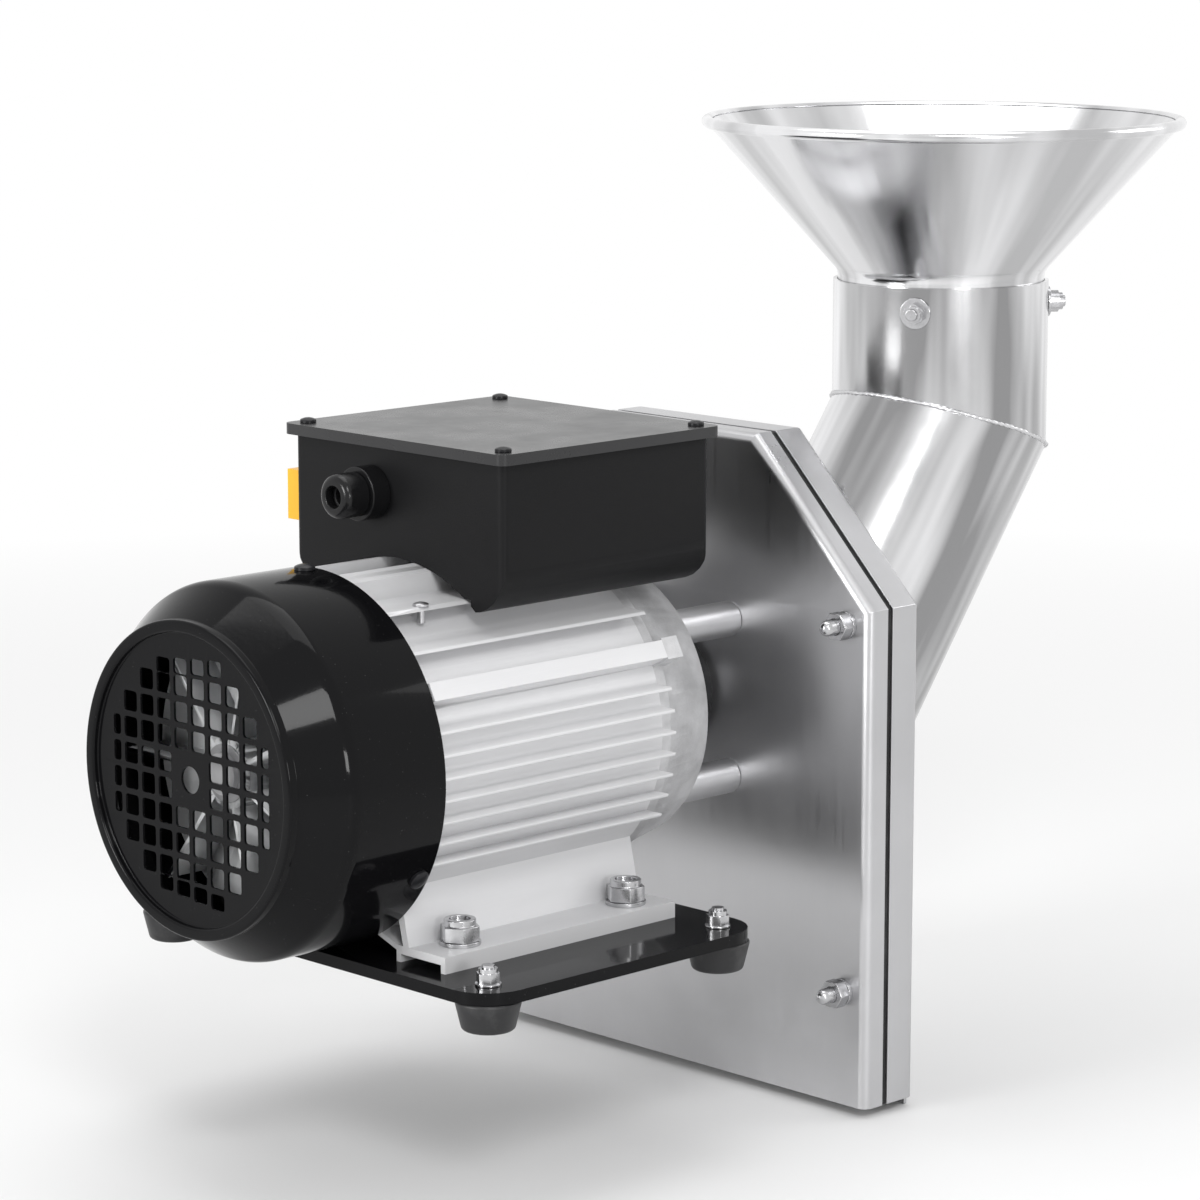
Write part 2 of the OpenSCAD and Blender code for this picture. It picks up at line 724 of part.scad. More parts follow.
// Terminal box: a moulded box whose underside fits over the frame
box_past_frame = 36.8;
box_end_x = frame_end_x + box_past_frame;
box_x = box_end_x - box_len;
box_low = 69.5;
box_corner_r = 4;
box_low_r = 22;
saddle_r = fin_tip_r + gap;
saddle_half_w = 52.5;
saddle_top = upper_fins_z[1] + fin_t / 2 + gap;
box_screw_r = 2.5;
box_screw_head_r = 4.5;
box_screw_head_h = 2.8;
box_screw_len = 14;
box_screw_inset = 28;
box_screw_xs = [box_x + box_screw_inset, box_end_x - box_screw_inset];
box_pad_h = 0.6;
box_pad_top = saddle_r + box_wall + box_pad_h;
lid_screw_inset = 4.8;
lid_screw_r = 2;
lid_screw_head_r = 4;
lid_screw_head_h = 2.6;
lid_screw_len = 16;
post_r = 4.6;
post_len = 40;
gland_y = 17;
gland_z = 119.6;
gland_hole_r = 8;
switch_setback = 37;
switch_mid_x = box_x + switch_setback;
switch_mid_z = 109.5;
switch_half_len = 28;
switch_half_h = 12.5;
switch_wall_play = 1.5;

module box_block(d) {
    intersection() {
        translate([0, 0, box_low - overrun]) linear_extrude(box_top - box_low + 2 * overrun) polygon(
            rectangle(box_x + d, -box_half_w + d, box_end_x - d, box_half_w - d, box_corner_r - d / 2));
        across(box_x + d, box_len - 2 * d, outline([
            [-box_half_w + d, box_low + d, box_low_r - d],
            [box_half_w - d, box_low + d, box_low_r - d],
            [box_half_w - d, box_top + (d > 0 ? overrun : 0), 0],
            [-box_half_w + d, box_top + (d > 0 ? overrun : 0), 0]
        ]));
    }
}

module saddle(d) {
    along_x(box_x - overrun + d) cylinder(r = saddle_r + d, h = box_len + 2 * overrun - 2 * d, $fn = 96);
    translate([box_x - overrun + d, -saddle_half_w - d, 0])
        cube([box_len + 2 * overrun - 2 * d, 2 * saddle_half_w + 2 * d, saddle_top + d]);
}

module at_lid_screws(z) {
    for (x = [box_x + lid_screw_inset, box_end_x - lid_screw_inset], side = [-1, 1])
        translate([x, side * (box_half_w - lid_screw_inset), z]) children();
}

module terminal_box() {
    color([0.06, 0.06, 0.065]) difference() {
        union() {
            difference() {
                box_block(0);
                difference() {
                    box_block(box_wall);
                    saddle(box_wall);
                }
            }
            intersection() {
                box_block(fit);
                union() {
                    at_lid_screws(box_top - post_len) cylinder(r = post_r, h = post_len);
                    for (x = box_screw_xs, side = [-1, 1])
                        translate([x, side * rail_y, frame_r])
                            cylinder(r = rail_w / 2, h = box_pad_top - frame_r);
                }
            }
        }
        saddle(0);
        at_lid_screws(box_top - post_len / 2) cylinder(r = lid_screw_r + fit, h = post_len);
        for (x = box_screw_xs, side = [-1, 1])
            translate([x, side * rail_y, frame_r]) cylinder(r = box_screw_r + fit, h = box_top - frame_r);
        along_x(box_x - overrun, gland_y, gland_z)
            cylinder(r = gland_hole_r + fit, h = box_wall + 2 * overrun);
        translate([switch_mid_x - switch_half_len + switch_wall_play, box_half_w - box_wall - overrun,
            switch_mid_z - switch_half_h + switch_wall_play])
            cube([2 * (switch_half_len - switch_wall_play), box_wall + 2 * overrun,
                2 * (switch_half_h - switch_wall_play)]);
    }
}

module box_screws() {
    color([0.6, 0.6, 0.62]) for (x = box_screw_xs, side = [-1, 1]) translate([x, side * rail_y, box_pad_top])
        domed_screw(box_screw_head_r, box_screw_head_h, box_screw_r, box_screw_len);
}

lid_gasket_t = 0.8;
lid_gasket_w = 2;
lid_skin_t = 2;
lid_corner_r = 5;
module lid_gasket() {
    color([0.1, 0.1, 0.1]) difference() {
        translate([0, 0, box_top]) linear_extrude(lid_gasket_t)
            polygon(rectangle(box_x + fit, -box_half_w + fit, box_end_x - fit, box_half_w - fit,
                box_corner_r));
        translate([0, 0, box_top - overrun]) linear_extrude(lid_gasket_t + 2 * overrun)
            polygon(rectangle(box_x + lid_gasket_w, -box_half_w + lid_gasket_w, box_end_x - lid_gasket_w,
                box_half_w - lid_gasket_w, box_corner_r / 2));
        at_lid_screws(box_top - overrun) cylinder(r = post_r, h = lid_gasket_t + 2 * overrun);
    }
}

module lid_block(d, z0, z1) {
    translate([0, 0, z0]) linear_extrude(z1 - z0) polygon(rectangle(
        box_x - lid_overhang + d, -box_half_w - lid_overhang + d,
        box_end_x + lid_overhang - d, box_half_w + lid_overhang - d, lid_corner_r - d / 2));
}

module box_lid() {
    lid_low = box_top + lid_gasket_t;
    color([0.12, 0.12, 0.13]) difference() {
        lid_block(0, lid_low - lid_h + lid_skin_t, lid_low + lid_skin_t);
        lid_block(lid_overhang - gap, lid_low - lid_h, lid_low);
        at_lid_screws(box_top) cylinder(r = lid_screw_r + fit, h = lid_h + overrun);
    }
}

module lid_screws() {
    color([0.05, 0.05, 0.05]) at_lid_screws(box_top + lid_gasket_t + lid_skin_t)
        domed_screw(lid_screw_head_r, lid_screw_head_h, lid_screw_r, lid_screw_len);
}

// Cable gland on the box's rear wall, with no cable in it
gland_boss_r = 13.2;
gland_boss_len = 11;
gland_nut_r = 10.9;
gland_nut_len = 14.5;
gland_bore_r = 4.5;
gland_thread_r = 8;
gland_thread_len = 9;
gland_seal_r = 6.8;
gland_mouth_r = 5.5;
gland_seal_len = 10;

module cable_gland() {
    color([0.04, 0.04, 0.04]) along_x(0, gland_y, gland_z) difference() {
        union() {
            translate([0, 0, box_x - gland_boss_len]) cylinder(r = gland_boss_r, h = gland_boss_len);
            translate([0, 0, box_x - gland_boss_len - gland_thread_len])
                cylinder(r = gland_thread_r, h = gland_thread_len + gland_boss_len + box_wall);
        }
        translate([0, 0, box_x - gland_boss_len - gland_thread_len - overrun])
            cylinder(r = gland_seal_r + fit, h = gland_seal_len + overrun);
        translate([0, 0, box_x - gland_boss_len - gland_thread_len - overrun])
            cylinder(r = gland_mouth_r, h = box_len);
    }
}

module gland_nut() {
    nut_x = box_x - gland_boss_len - gland_nut_len;
    color([0.05, 0.05, 0.05]) translate([0, gland_y, gland_z]) difference() {
        turned(outline([
            [0, nut_x, 0],
            [gland_nut_r, nut_x, gland_nut_r / 3],
            [gland_nut_r, nut_x + gland_nut_len - gap, 0],
            [0, nut_x + gland_nut_len - gap, 0]
        ]));
        along_x(nut_x - overrun) cylinder(r = gland_mouth_r, h = gland_nut_len);
        along_x(nut_x + gland_nut_len - gland_thread_len - gap) cylinder(r = gland_thread_r + fit, h = gland_nut_len);
    }
}

module gland_seal() {
    seal_x = box_x - gland_boss_len - gland_thread_len;
    color([0.02, 0.02, 0.02]) translate([0, gland_y, gland_z])
        ring_x(seal_x, gland_seal_len - fit, gland_seal_r, gland_bore_r);
}

// Capacitors in the box, clipped to its floor
cap_r = 19;
cap_side_gap = 7.5;
cap_y = box_half_w - box_wall - cap_side_gap - cap_r;
cap_clip_t = 1;
cap_floor_r = saddle_r + box_wall + cap_clip_t + 2 * fit + cap_r;
cap_z = sqrt(cap_floor_r * cap_floor_r - cap_y * cap_y);
cap_lengths = [88, 60];
cap_setback = 8;
cap_end_x = box_end_x - box_wall - cap_setback;
cap_clip_w = 14;

module capacitors() {
    color([0.16, 0.16, 0.17]) for (i = [0, 1])
        along_x(cap_end_x - cap_lengths[i], (i == 0 ? -1 : 1) * cap_y, cap_z)
            cylinder(r = cap_r, h = cap_lengths[i]);
}

module capacitor_clips() {
    color([0.7, 0.7, 0.71]) for (i = [0, 1])
        translate([0, (i == 0 ? -1 : 1) * cap_y, cap_z])
            ring_x(cap_end_x - (cap_lengths[i] + cap_clip_w) / 2, cap_clip_w, cap_r + cap_clip_t + fit, cap_r + fit);
}

board_len = 50;
board_w = 26;
board_t = 4;
stud_r = 2;
stud_h = 9;
module terminal_board() {
    board_z = saddle_r + box_wall + fit;
    color([0.75, 0.7, 0.55]) {
        translate([(box_x + box_end_x - board_len) / 2, -board_w / 2, board_z]) cube([board_len, board_w, board_t]);
        for (i = [-1:1], side = [-1, 1])
            translate([(box_x + box_end_x) / 2 + i * board_len / 3, side * board_w / 4, board_z + board_t])
                cylinder(r = stud_r, h = stud_h);
    }
}

// Switch on the far side of the box: two buttons under a yellow cover that flips up
switch_flange_t = 3;
switch_body_depth = 16;
switch_body_wall = 2;
button_r = 8;
button_pitch = 25;
button_proud = 4;
button_travel = 3;
button_in = 8;
button_wall = 2;
cover_depth_y = 13;
cover_wall = 1.5;
cover_play = 0.5;
pin_r = 1.5;
barrel_r = 2.7;
pin_out = 5;
pin_y = box_half_w + switch_flange_t + pin_out;
pin_z = switch_mid_z + switch_half_h + barrel_r + gap;
switch_rim = 2;
barrel_half_len = 21;
ear_t = 3.5;

module switch_body() {
    color([0.08, 0.08, 0.08]) difference() {
        union() {
            translate([switch_mid_x - switch_half_len - switch_rim, box_half_w,
                switch_mid_z - switch_half_h - switch_rim])
                cube([2 * (switch_half_len + switch_rim), switch_flange_t,
                    pin_z + barrel_r + 2 * switch_rim + switch_half_h - switch_mid_z]);
            translate([switch_mid_x - switch_half_len + switch_wall_play + fit, box_half_w - switch_body_depth,
                switch_mid_z - switch_half_h + switch_wall_play + fit])
                cube([2 * (switch_half_len - switch_wall_play - fit), switch_body_depth,
                    2 * (switch_half_h - switch_wall_play - fit)]);
        }
        for (side = [-1, 1])
            along_y(switch_mid_x + side * button_pitch / 2,
                box_half_w - switch_body_depth + switch_body_wall, switch_mid_z)
                cylinder(r = button_r + fit, h = switch_body_depth + switch_flange_t);
    }
}

module cover_hinge() {
    flange_y = box_half_w + switch_flange_t;
    color([0.7, 0.05, 0.04]) difference() {
        union() {
            along_x(switch_mid_x - barrel_half_len, pin_y, pin_z) cylinder(r = barrel_r, h = 2 * barrel_half_len);
            translate([switch_mid_x - barrel_half_len, flange_y, pin_z - barrel_r + gap])
                cube([2 * barrel_half_len, pin_y - flange_y, 2 * barrel_r - gap]);
        }
        along_x(switch_mid_x - barrel_half_len - overrun, pin_y, pin_z)
            cylinder(r = pin_r, h = 2 * barrel_half_len + 2 * overrun);
    }
}

module cover_pin() {
    half_len = barrel_half_len + gap + ear_t;
    color([0.7, 0.7, 0.72])
        along_x(switch_mid_x - half_len, pin_y, pin_z) cylinder(r = pin_r - fit, h = 2 * half_len);
}

module switch_cover() {
    cover_y = box_half_w + switch_flange_t + cover_play;
    cover_x = switch_mid_x - switch_half_len;
    cover_z = switch_mid_z - switch_half_h;
    color([0.95, 0.66, 0.05]) difference() {
        union() {
            difference() {
                translate([cover_x, cover_y, cover_z])
                    cube([2 * switch_half_len, cover_depth_y, 2 * switch_half_h]);
                translate([cover_x + cover_wall, cover_y - overrun, cover_z + cover_wall])
                    cube([2 * (switch_half_len - cover_wall), cover_depth_y - cover_wall + overrun,
                        2 * (switch_half_h - cover_wall)]);
            }
            for (side = [-1, 1]) {
                ear_x = switch_mid_x + side * (barrel_half_len + gap + ear_t / 2) - ear_t / 2;
                along_x(ear_x, pin_y, pin_z) cylinder(r = barrel_r, h = ear_t);
                translate([ear_x, pin_y - barrel_r, cover_z + 2 * switch_half_h - cover_wall])
                    cube([ear_t, 2 * barrel_r, pin_z - cover_z - 2 * switch_half_h + cover_wall]);
            }
        }
        along_x(cover_x, pin_y, pin_z) cylinder(r = pin_r + fit, h = 2 * switch_half_len);
    }
}

module push_button(side) {
    along_y(switch_mid_x + side * button_pitch / 2, box_half_w + switch_flange_t - button_in, switch_mid_z)
        difference() {
            cylinder(r = button_r - fit, h = button_in + button_proud);
            translate([0, 0, -overrun]) cylinder(r = button_r - button_wall, h = button_in + overrun);
        }
}

module start_button() {
    color([0.1, 0.5, 0.15]) push_button(-1);
}

module stop_button() {
    color([0.75, 0.05, 0.04]) push_button(1);
}

module button_springs() {
    spring_y = box_half_w - switch_body_depth + switch_body_wall;
    spring_len = switch_flange_t + switch_body_depth - switch_body_wall - button_travel - gap;
    color([0.7, 0.7, 0.72]) for (side = [-1, 1])
        along_y(switch_mid_x + side * button_pitch / 2, spring_y, switch_mid_z)
            washer(button_r - button_wall - 2 * gap, button_r / 2, spring_len);
}

// Earth screw that hangs in the upper fin
earth_setback = 26;
earth_x = box_x - earth_setback;
earth_y = 46;
earth_r = 2;
earth_head_r = 3.8;
earth_head_h = 2.2;
earth_len = 8;
module earth_screw() {
    color([0.8, 0.8, 0.78]) translate([earth_x, -earth_y, upper_fins_z[1] + fin_t / 2])
        domed_screw(earth_head_r, earth_head_h, earth_r, earth_len);
}

// Base plate with its folded rim, and the rubber feet under it
base_overhang = 15;
base_x = frame_x - base_overhang;
base_t = 2.5;
base_corner_r = 22;
foot_inset_x = 17.25;
foot_inset_y = 16.5;
stud_screw_r = 3;

module base_block(d, z0, z1) {
    translate([0, 0, z0]) linear_extrude(z1 - z0) polygon(rectangle(
        base_x + d, -base_w / 2 + d, base_x + base_len - d, base_w / 2 - d, base_corner_r - d));
}

module at_rubber_feet(z) {
    for (x = [base_x + foot_inset_x, base_x + base_len - foot_inset_x], side = [-1, 1])
        translate([x, side * (base_w / 2 - foot_inset_y), z]) children();
}

module at_motor_bolts(z) {
    for (i = [0, 1], side = [-1, 1])
        translate([foot_bolt_x + i * foot_bolt_pitch, side * foot_bolt_y, z]) children();
}

module base_plate() {
    color([0.03, 0.03, 0.035]) difference() {
        base_block(0, base_z - base_rim_h, base_z);
        base_block(base_t, base_z - base_rim_h - overrun, base_z - base_t);
        at_rubber_feet(base_z - base_rim_h) cylinder(r = stud_screw_r + fit, h = base_rim_h + overrun);
        at_motor_bolts(base_z - base_rim_h) cylinder(r = foot_bolt_r + fit, h = base_rim_h + overrun);
    }
}

bolt_head_share = 0.64;
motor_bolt_af = 17;
motor_nut_h = 10.5;
motor_washer_r = 10;
motor_washer_t = 2;
bolt_end = 3;
module motor_foot_bolts() {
    head_h = foot_bolt_r * 2 * bolt_head_share;
    color([0.78, 0.78, 0.8]) at_motor_bolts(base_z - base_t) {
        translate([0, 0, -head_h]) hexagon(motor_bolt_af, head_h);
        cylinder(r = foot_bolt_r, h = base_t + foot_h + motor_washer_t + motor_nut_h - bolt_end / 2);
    }
}

module motor_foot_nuts() {
    color([0.82, 0.82, 0.83]) at_motor_bolts(base_z + foot_h + motor_washer_t)
        lock_nut(motor_bolt_af, motor_nut_h, foot_bolt_r + fit);
}

// Rubber foot with its bonded stud
foot_edge_r = 2.5;
stud_plate_r = 9;
stud_plate_t = 2;
rubber_neck_r = 11.5;
module rubber_feet() {
    shoulder_h = rubber_h - base_rim_h + base_t - gap;
    color([0.05, 0.05, 0.05]) at_rubber_feet(base_z - base_t - rubber_h) difference() {
        rotate_extrude() polygon(outline([
            [0, 0, 0],
            [rubber_low_r, 0, foot_edge_r],
            [rubber_top_r, shoulder_h, 0],
            [rubber_neck_r, shoulder_h, 0],
            [rubber_neck_r, rubber_h, 0],
            [0, rubber_h, 0]
        ]));
        translate([0, 0, rubber_h - stud_plate_t]) cylinder(r = stud_plate_r + fit, h = stud_plate_t + overrun);
    }
}

stud_nut_h = 7;
stud_end = 1.5;
stud_washer_r = 6.25;
stud_washer_t = 1.2;
m6_af = 10;
module foot_studs() {
    color([0.75, 0.75, 0.77]) at_rubber_feet(base_z - base_t) {
        translate([0, 0, -stud_plate_t]) cylinder(r = stud_plate_r, h = stud_plate_t);
        cylinder(r = stud_screw_r, h = base_t + stud_washer_t + stud_nut_h + stud_end);
    }
}

module m6_nuts() {
    color([0.82, 0.82, 0.83]) {
        at_rubber_feet(base_z + stud_washer_t) lock_nut(m6_af, stud_nut_h, stud_screw_r + fit);
        at_funnel_screws(pipe_r + funnel_washer_t) lock_nut(m6_af, stud_nut_h, stud_screw_r + fit);
    }
}

module flat_washers() {
    color([0.8, 0.8, 0.81]) {
        at_motor_bolts(base_z + foot_h) washer(motor_washer_r, foot_bolt_r + fit, motor_washer_t);
        at_rubber_feet(base_z) washer(stud_washer_r, stud_screw_r + fit, stud_washer_t);
        at_funnel_screws(pipe_r) washer(funnel_washer_r, stud_screw_r + fit, funnel_washer_t);
    }
}

// Crusher housing: two folded trays face to face on a gasket, open at the bottom
shoulder_share = tan(22.5);
housing_bolt_inset = 16.1;
housing_bolt_y = housing_half_w - housing_bolt_inset;
shoulder_z = housing_top - housing_half_w + housing_flat;
upper_bolt_drop = 8.3;
lower_bolt_rise = 58.6;
housing_bolt_zs = [shoulder_z - upper_bolt_drop, lower_bolt_rise - housing_drop];
housing_bolt_r = 4;
housing_nut_af = 13;
housing_nut_h = 6.5;
housing_head_h = 5.3;
spring_washer_t = 2.2;
spring_washer_r = 7;
bolt_proud = 9;
seal_hole_r = 24;
gasket_inset = 1;
gasket_w = 8;

// Housing's outline across the shaft, drawn inwards by d
function housing_shape(d, low) = [
    [-housing_half_w + d, low],
    [housing_half_w - d, low],
    [housing_half_w - d, shoulder_z - d * shoulder_share],
    [housing_flat - d * shoulder_share, housing_top - d],
    [-housing_flat + d * shoulder_share, housing_top - d],
    [-housing_half_w + d, shoulder_z - d * shoulder_share]
];

// Prism with two rounded edges along its far face, which rounds one fold of a tray
module fold_prism(angle, reach, face_x, rim_x, r, length) {
    rotate([angle, 0, 0]) translate([0, 0, -length])
        linear_extrude(2 * length) polygon(outline([
            [face_x, -length, 0],
            [face_x, reach, r],
            [rim_x, reach, 0],
            [rim_x, -length, 0]
        ]));
}

// Tray block whose face lies at face_x, with its folds rounded
module folded_block(d, face_x, rim_x, r) {
    reach = housing_half_w + housing_top + housing_drop;
    chamfer_reach = (housing_flat + housing_top) / sqrt(2) - d;
    low = -housing_drop - (d > 0 ? overrun : 0);
    intersection() {
        across(min(face_x, rim_x), abs(rim_x - face_x), housing_shape(d, low));
        fold_prism(0, housing_half_w - d, face_x, rim_x, r, reach);
        fold_prism(180, housing_half_w - d, face_x, rim_x, r, reach);
        fold_prism(90, housing_top - d, face_x, rim_x, r, reach);
        fold_prism(45, chamfer_reach, face_x, rim_x, r, reach);
        fold_prism(135, chamfer_reach, face_x, rim_x, r, reach);
    }
}

module at_housing_bolts(x) {
    for (z = housing_bolt_zs, side = [-1, 1]) along_x(x, side * housing_bolt_y, z) children();
}

module housing_back() {
    color([0.72, 0.72, 0.74]) difference() {
        folded_block(0, back_x, gasket_x, fold_r);
        folded_block(sheet_t, back_x + sheet_t, gasket_x + overrun, fold_r - sheet_t);
        along_x(back_x - overrun) cylinder(r = seal_hole_r, h = sheet_t + 2 * overrun);
        for (a = pillar_angles)
            rotate([a, 0, 0]) along_x(back_x - overrun, pillar_ring_r)
                cylinder(r = pillar_bolt_r + fit, h = sheet_t + 2 * overrun);
        at_housing_bolts(back_x - overrun) cylinder(r = housing_bolt_r + fit, h = sheet_t + 2 * overrun);
    }
}

module housing_gasket() {
    color([0.03, 0.03, 0.03]) difference() {
        across(gasket_x, gasket_t, housing_shape(gasket_inset, -housing_drop));
        across(gasket_x - overrun, gasket_t + 2 * overrun, housing_shape(gasket_w, -housing_drop - overrun));
    }
}

// The cover's face plate reaches lower than its side walls
module housing_cover() {
    color([0.75, 0.75, 0.77]) difference() {
        union() {
            folded_block(0, cover_x, cover_rim_x, fold_r);
            across(cover_x - sheet_t, sheet_t, [
                [-housing_half_w + fold_r, -housing_drop + fold_r],
                [-housing_half_w + fold_r, low_z],
                [housing_half_w - fold_r, low_z],
                [housing_half_w - fold_r, -housing_drop + fold_r]
            ]);
        }
        folded_block(sheet_t, cover_x - sheet_t, cover_rim_x - overrun, fold_r - sheet_t);
        feed_cylinder(pipe_bore_r);
        at_housing_bolts(cover_x - sheet_t - overrun) cylinder(r = housing_bolt_r + fit, h = sheet_t + 2 * overrun);
    }
}

module housing_bolts() {
    bolt_len = cover_x - back_x + spring_washer_t + housing_nut_h + bolt_proud;
    color([0.8, 0.8, 0.81]) {
        at_housing_bolts(cover_x) hexagon(housing_nut_af, housing_head_h);
        at_housing_bolts(cover_x - bolt_len + housing_bolt_r)
            cylinder(r = housing_bolt_r, h = bolt_len - housing_bolt_r);
        at_housing_bolts(cover_x - bolt_len + housing_bolt_r) sphere(r = housing_bolt_r);
    }
}

module spring_washers() {
    color([0.78, 0.78, 0.79]) at_housing_bolts(back_x - spring_washer_t)
        washer(spring_washer_r, housing_bolt_r + fit, spring_washer_t);
}

module housing_nuts() {
    color([0.84, 0.84, 0.85]) at_housing_bolts(back_x - spring_washer_t - housing_nut_h) difference() {
        hexagon(housing_nut_af, housing_nut_h);
        translate([0, 0, -overrun]) cylinder(r = housing_bolt_r + fit, h = housing_nut_h + 2 * overrun);
    }
}

// Cutter: a hub on the shaft's end carries the disc with its four knives
hub_r = 18;
hub_flange_r = 32;
hub_flange_t = 4;
disc_t = 4;
knife_count = 4;
knife_in_r = 36;
knife_len = 62;
knife_w = 14;
knife_h = 8;
knife_screw_r = 2.5;
knife_screw_head_r = 4;
knife_screw_head_h = 2.4;
knife_screw_shares = [0.25, 0.75];
disc_washer_r = 20;
disc_washer_t = 3;

module housing_seal() {
    color([0.06, 0.06, 0.06]) {
        ring_x(back_x - seal_t, seal_t, seal_hole_r + seal_t, hub_r + gap);
        ring_x(back_x - fit, sheet_t + fit, seal_hole_r - fit, hub_r + gap);
    }
}

module cutter_hub() {
    color([0.7, 0.7, 0.72]) difference() {
        union() {
            ring_x(hub_x, hub_end_x - hub_x, hub_r, output_r + fit);
            ring_x(hub_end_x - hub_flange_t, hub_flange_t, hub_flange_r, output_r + fit);
        }
        translate([hub_x - overrun, -key_w / 2 - fit, 0])
            cube([hub_end_x - hub_x + 2 * overrun, key_w + 2 * fit, key_seat_z + key_h + 2 * fit]);
    }
}

module cutter_disc() {
    color([0.76, 0.76, 0.78]) difference() {
        ring_x(hub_end_x, disc_t, disc_r, disc_bolt_r + fit);
        at_knife_screws(hub_end_x - overrun) cylinder(r = knife_screw_r + fit, h = disc_t + 2 * overrun);
    }
}

module at_knife_screws(x) {
    for (i = [0:knife_count - 1], share = knife_screw_shares)
        rotate([i * 360 / knife_count, 0, 0]) along_x(x, knife_in_r + knife_len * share) children();
}

module cutter_knives() {
    color([0.8, 0.8, 0.82]) difference() {
        for (i = [0:knife_count - 1])
            rotate([i * 360 / knife_count, 0, 0]) translate([hub_end_x + disc_t, knife_in_r, 0])
                rotate([90, 0, 90]) linear_extrude(knife_h) polygon([
                    [0, -knife_w / 2], [knife_len, -knife_w / 2], [knife_len, knife_w / 2], [0, knife_w / 2]
                ]);
        at_knife_screws(hub_end_x) cylinder(r = knife_screw_r + fit, h = disc_t + knife_h + overrun);
    }
}

module cutter_fasteners() {
    screw_len = knife_h + disc_t;
    washer_x = hub_end_x + disc_t;
    color([0.7, 0.7, 0.72]) {
        at_knife_screws(hub_end_x) cylinder(r = knife_screw_r, h = screw_len);
        at_knife_screws(hub_end_x + screw_len) cylinder(r = knife_screw_head_r, h = knife_screw_head_h);
        ring_x(washer_x, disc_washer_t, disc_washer_r, disc_bolt_r + fit);
        along_x(washer_x + disc_washer_t) hexagon(housing_nut_af, housing_head_h);
        along_x(output_end_x - disc_bolt_grip)
            cylinder(r = disc_bolt_r, h = washer_x + disc_washer_t + overrun - output_end_x + disc_bolt_grip);
    }
}

// Feed pipe: an upright tube mitred to a slanted one that is welded to the cover
pipe_reach_len = pipe_reach / sin(pipe_bend) + 2 * pipe_r;
weld_half_w = 1.2;
weld_proud = 1.1;

// Slab between two planes that lie low and high above the mitre
module mitre_slab(low, high) {
    translate([pipe_x, pipe_y, mitre_z]) rotate([0, pipe_bend / 2, 0])
        translate([-pipe_reach_len, -pipe_reach_len, low])
            cube([2 * pipe_reach_len, 2 * pipe_reach_len, high - low]);
}

module upright_cylinder(r, top) {
    translate([pipe_x, pipe_y, mitre_z - pipe_r]) cylinder(r = r, h = top - mitre_z + pipe_r, $fn = 96);
}

module feed_cylinder(r) {
    translate([pipe_x, pipe_y, mitre_z]) rotate([0, pipe_bend, 0]) translate([0, 0, -pipe_reach_len])
        cylinder(r = r, h = pipe_reach_len + pipe_r, $fn = 96);
}

// Both tubes up to the mitre, each running past it by the given length
module pipe_body(r, top, past) {
    intersection() {
        upright_cylinder(r, top);
        mitre_slab(-past, 2 * pipe_reach_len);
    }
    intersection() {
        feed_cylinder(r);
        mitre_slab(-2 * pipe_reach_len, past);
        translate([cover_x - (r < pipe_r ? overrun : 0), pipe_y - pipe_reach_len, mitre_z - 2 * pipe_reach_len])
            cube([2 * pipe_reach_len, 2 * pipe_reach_len, 4 * pipe_reach_len]);
    }
}

module feed_pipe() {
    color([0.78, 0.78, 0.8]) difference() {
        union() {
            pipe_body(pipe_r, pipe_top, -weld_half_w / 2);
            intersection() {
                upright_cylinder(pipe_r + weld_proud, pipe_top);
                mitre_slab(-weld_half_w, weld_half_w);
            }
        }
        pipe_body(pipe_bore_r, pipe_top + overrun, weld_half_w / 4);
        at_funnel_screws(0) cylinder(r = stud_screw_r + fit, h = pipe_r + overrun);
    }
}

// Funnel: a spigot inside the pipe, a cone and a rolled rim
spigot_depth = 24;
funnel_neck_h = 4.5;
funnel_out_r = pipe_bore_r - gap;
funnel_screw_drop = 12.5;
funnel_screw_angles = [88, 208, 322];
funnel_washer_r = 8;
funnel_washer_t = 1.5;
funnel_head_r = 5.5;
funnel_head_h = 3;

module at_funnel_screws(r) {
    for (a = funnel_screw_angles)
        translate([pipe_x, pipe_y, pipe_top - funnel_screw_drop]) rotate([0, 90, a]) translate([0, 0, r]) children();
}

module funnel() {
    rim_top = funnel_h;
    cone_r = funnel_r - 2 * rim_r;
    color([0.8, 0.8, 0.82]) difference() {
        translate([pipe_x, pipe_y, pipe_top]) rotate_extrude($fn = 96) {
            polygon([
                [funnel_out_r - funnel_wall, -spigot_depth],
                [funnel_out_r, -spigot_depth],
                [funnel_out_r, funnel_neck_h],
                [cone_r + rim_r, rim_top - rim_r],
                [cone_r + rim_r - funnel_wall, rim_top - rim_r],
                [funnel_out_r - funnel_wall, funnel_neck_h]
            ]);
            translate([funnel_r - rim_r, rim_top - rim_r]) circle(r = rim_r, $fn = 32);
        }
        at_funnel_screws(0) cylinder(r = stud_screw_r + fit, h = pipe_r + overrun);
    }
}

module funnel_screws() {
    head_at = funnel_out_r - funnel_wall - funnel_head_h;
    screw_len = pipe_r + funnel_washer_t + stud_nut_h + stud_end - head_at;
    color([0.8, 0.8, 0.81]) at_funnel_screws(head_at) {
        cylinder(r = funnel_head_r, h = funnel_head_h - gap);
        cylinder(r = stud_screw_r, h = screw_len);
    }
}

